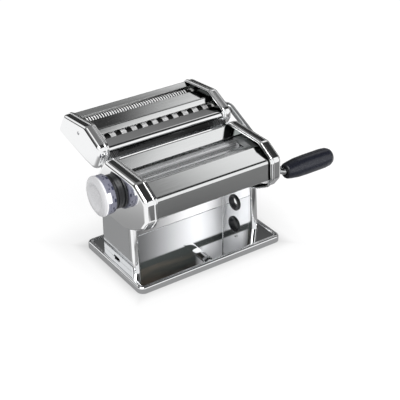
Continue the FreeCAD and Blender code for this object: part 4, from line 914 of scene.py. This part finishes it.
def light_studio():
    """White to the camera, even to dull surfaces, and soft boxes between dark flags to mirrors."""
    world = bpy.data.worlds.new("studio")
    scene.world = world
    sky = Graph(world)
    seen, x, y, z = sky.place("Generated")

    def box(way, low, high, level=1.0):
        """A round soft box seen toward a direction."""
        node, agreement = sky.vector("DOT_PRODUCT", seen, "Value")
        node.inputs[1].default_value = Vector(way).normalized()
        return sky.ease(agreement, low, high, 0.0, level)

    stripe = sky.calc("MULTIPLY", sky.ease(z, 0.265, 0.295, 0.0, 0.95), sky.ease(z, 0.4, 0.37))
    boxes = [
        sky.ease(z, 0.04, 0.02),
        sky.calc("MULTIPLY", sky.ease(x, 0.43, 0.52), stripe),
        sky.calc("MULTIPLY", sky.ease(z, 0.45, 0.64, 0.0, 0.19), sky.ease(y, 0.0, 0.14)),
        box((0.62, 0.36, 0.7), 0.972, 0.992),
        box((0.6, -0.6, 0.53), 0.972, 0.988),
        sky.calc("MULTIPLY", sky.ease(y, -0.35, -0.5), sky.ease(z, 0.645, 0.605)),
        box((-0.35, 0.8, 0.48), 0.95, 0.97, 0.95),
        box((-0.85, -0.35, 0.4), 0.8, 0.9, 0.87),
        box((-0.3, 0.1, 1.0), 0.95, 0.98),
    ]
    level = 0.035
    for item in boxes:
        level = sky.calc("MAXIMUM", level, item)
    rays = sky.add("LightPath").outputs
    unseen = sky.mixed(rays["Is Glossy Ray"], (0.55, 0.55, 0.56, 1), level)
    shown = sky.mixed(rays["Is Camera Ray"], unseen, (1, 1, 1, 1))
    background = sky.nodes["Background"]
    background.inputs["Strength"].default_value = 1.0
    sky.links.new(shown, background.inputs["Color"])


def lay_floor():
    """A white table with a painted contact shadow; in mirrors it shows painted shade near the
    machine.
    """
    reach = 3.0
    mesh = bpy.data.meshes.new("floor")
    mesh.from_pydata([(-reach, -reach, 0), (reach, -reach, 0), (reach, reach, 0),
                      (-reach, reach, 0)], [], [(0, 1, 2, 3)])
    floor = bpy.data.objects.new("floor", mesh)
    scene.collection.objects.link(floor)
    look = bpy.data.materials.new("floor")
    mesh.materials.append(look)
    graph = Graph(look)
    calc, ease = graph.calc, graph.ease
    shader = graph.nodes["Principled BSDF"]
    shader.inputs["Base Color"].default_value = (0.86, 0.86, 0.86, 1)
    shader.inputs["Roughness"].default_value = 0.2
    shader.inputs["Specular IOR Level"].default_value = 0.35
    spot, across, back, up = graph.place()
    node, away = graph.vector("LENGTH", spot, "Value")
    rays = graph.add("LightPath").outputs
    camera_ray, glossy_ray = rays["Is Camera Ray"], rays["Is Glossy Ray"]

    # what mirrors see of it: painted shade near the machine, in a stripe in front and at the
    # right-back corner, and painted light in a wedge at the left and a band in front
    left = calc("MULTIPLY", ease(across, -0.1, -0.125), ease(back, 0.02, 0.0))
    front = calc("MAXIMUM", ease(back, -0.135, -0.1, 0.16, 1.0), ease(back, -0.37, -0.43))
    corner = calc("MULTIPLY", ease(across, 0.06, 0.12), ease(back, 0.02, 0.08))
    behind = calc("SUBTRACT", 1.0, calc("MULTIPLY", corner, 0.94))
    near = calc("MAXIMUM", ease(away, 0.16, 0.33, 0.3, 1.0), left)
    front = calc("MULTIPLY", calc("MAXIMUM", front, left), behind)
    painted_light_band = calc("MULTIPLY", ease(back, -0.11, -0.15, 0.0, 0.85), ease(back, -0.3, -0.24))
    painted_light_band = calc("MULTIPLY", ease(across, 0.012, 0.0), painted_light_band)
    mirrored = calc("MAXIMUM", calc("MULTIPLY", near, front), painted_light_band)

    # what the camera sees of it: a painted contact shadow and painted reflection of the base, by
    # the distance outside the base's edges
    sides = calc("SUBTRACT", calc("ABSOLUTE", across), 0.094)
    ends = calc("SUBTRACT", calc("ABSOLUTE", back), 0.057)
    outside = calc("MAXIMUM", sides, ends)
    contact = calc("ADD", ease(outside, 0.0, 0.02, 0.62, 0.86),
                   ease(outside, 0.01, 0.07, 0.0, 0.14))

    shade = graph.add("Mix")
    graph.links.new(camera_ray, shade.inputs["Factor"])
    graph.links.new(mirrored, shade.inputs["A"])
    graph.links.new(contact, shade.inputs["B"])
    glow = graph.add("Emission")
    graph.links.new(ease(camera_ray, 0.0, 1.0, 1.0, 1.05), glow.inputs["Strength"])
    graph.links.new(shade.outputs["Result"], glow.inputs["Color"])
    either = calc("MAXIMUM", camera_ray, glossy_ray)
    weight = calc("MAXIMUM", ease(away, 0.3, 0.8, 0.8, 1.0), calc("MULTIPLY", glossy_ray, 0.96))
    blend = graph.add("MixShader")
    graph.links.new(calc("MULTIPLY", either, weight), blend.inputs["Fac"])
    graph.links.new(shader.outputs["BSDF"], blend.inputs[1])
    graph.links.new(glow.outputs["Emission"], blend.inputs[2])
    graph.links.new(blend.outputs["Shader"], graph.nodes["Material Output"].inputs["Surface"])
    return floor


light_studio()
lay_floor()
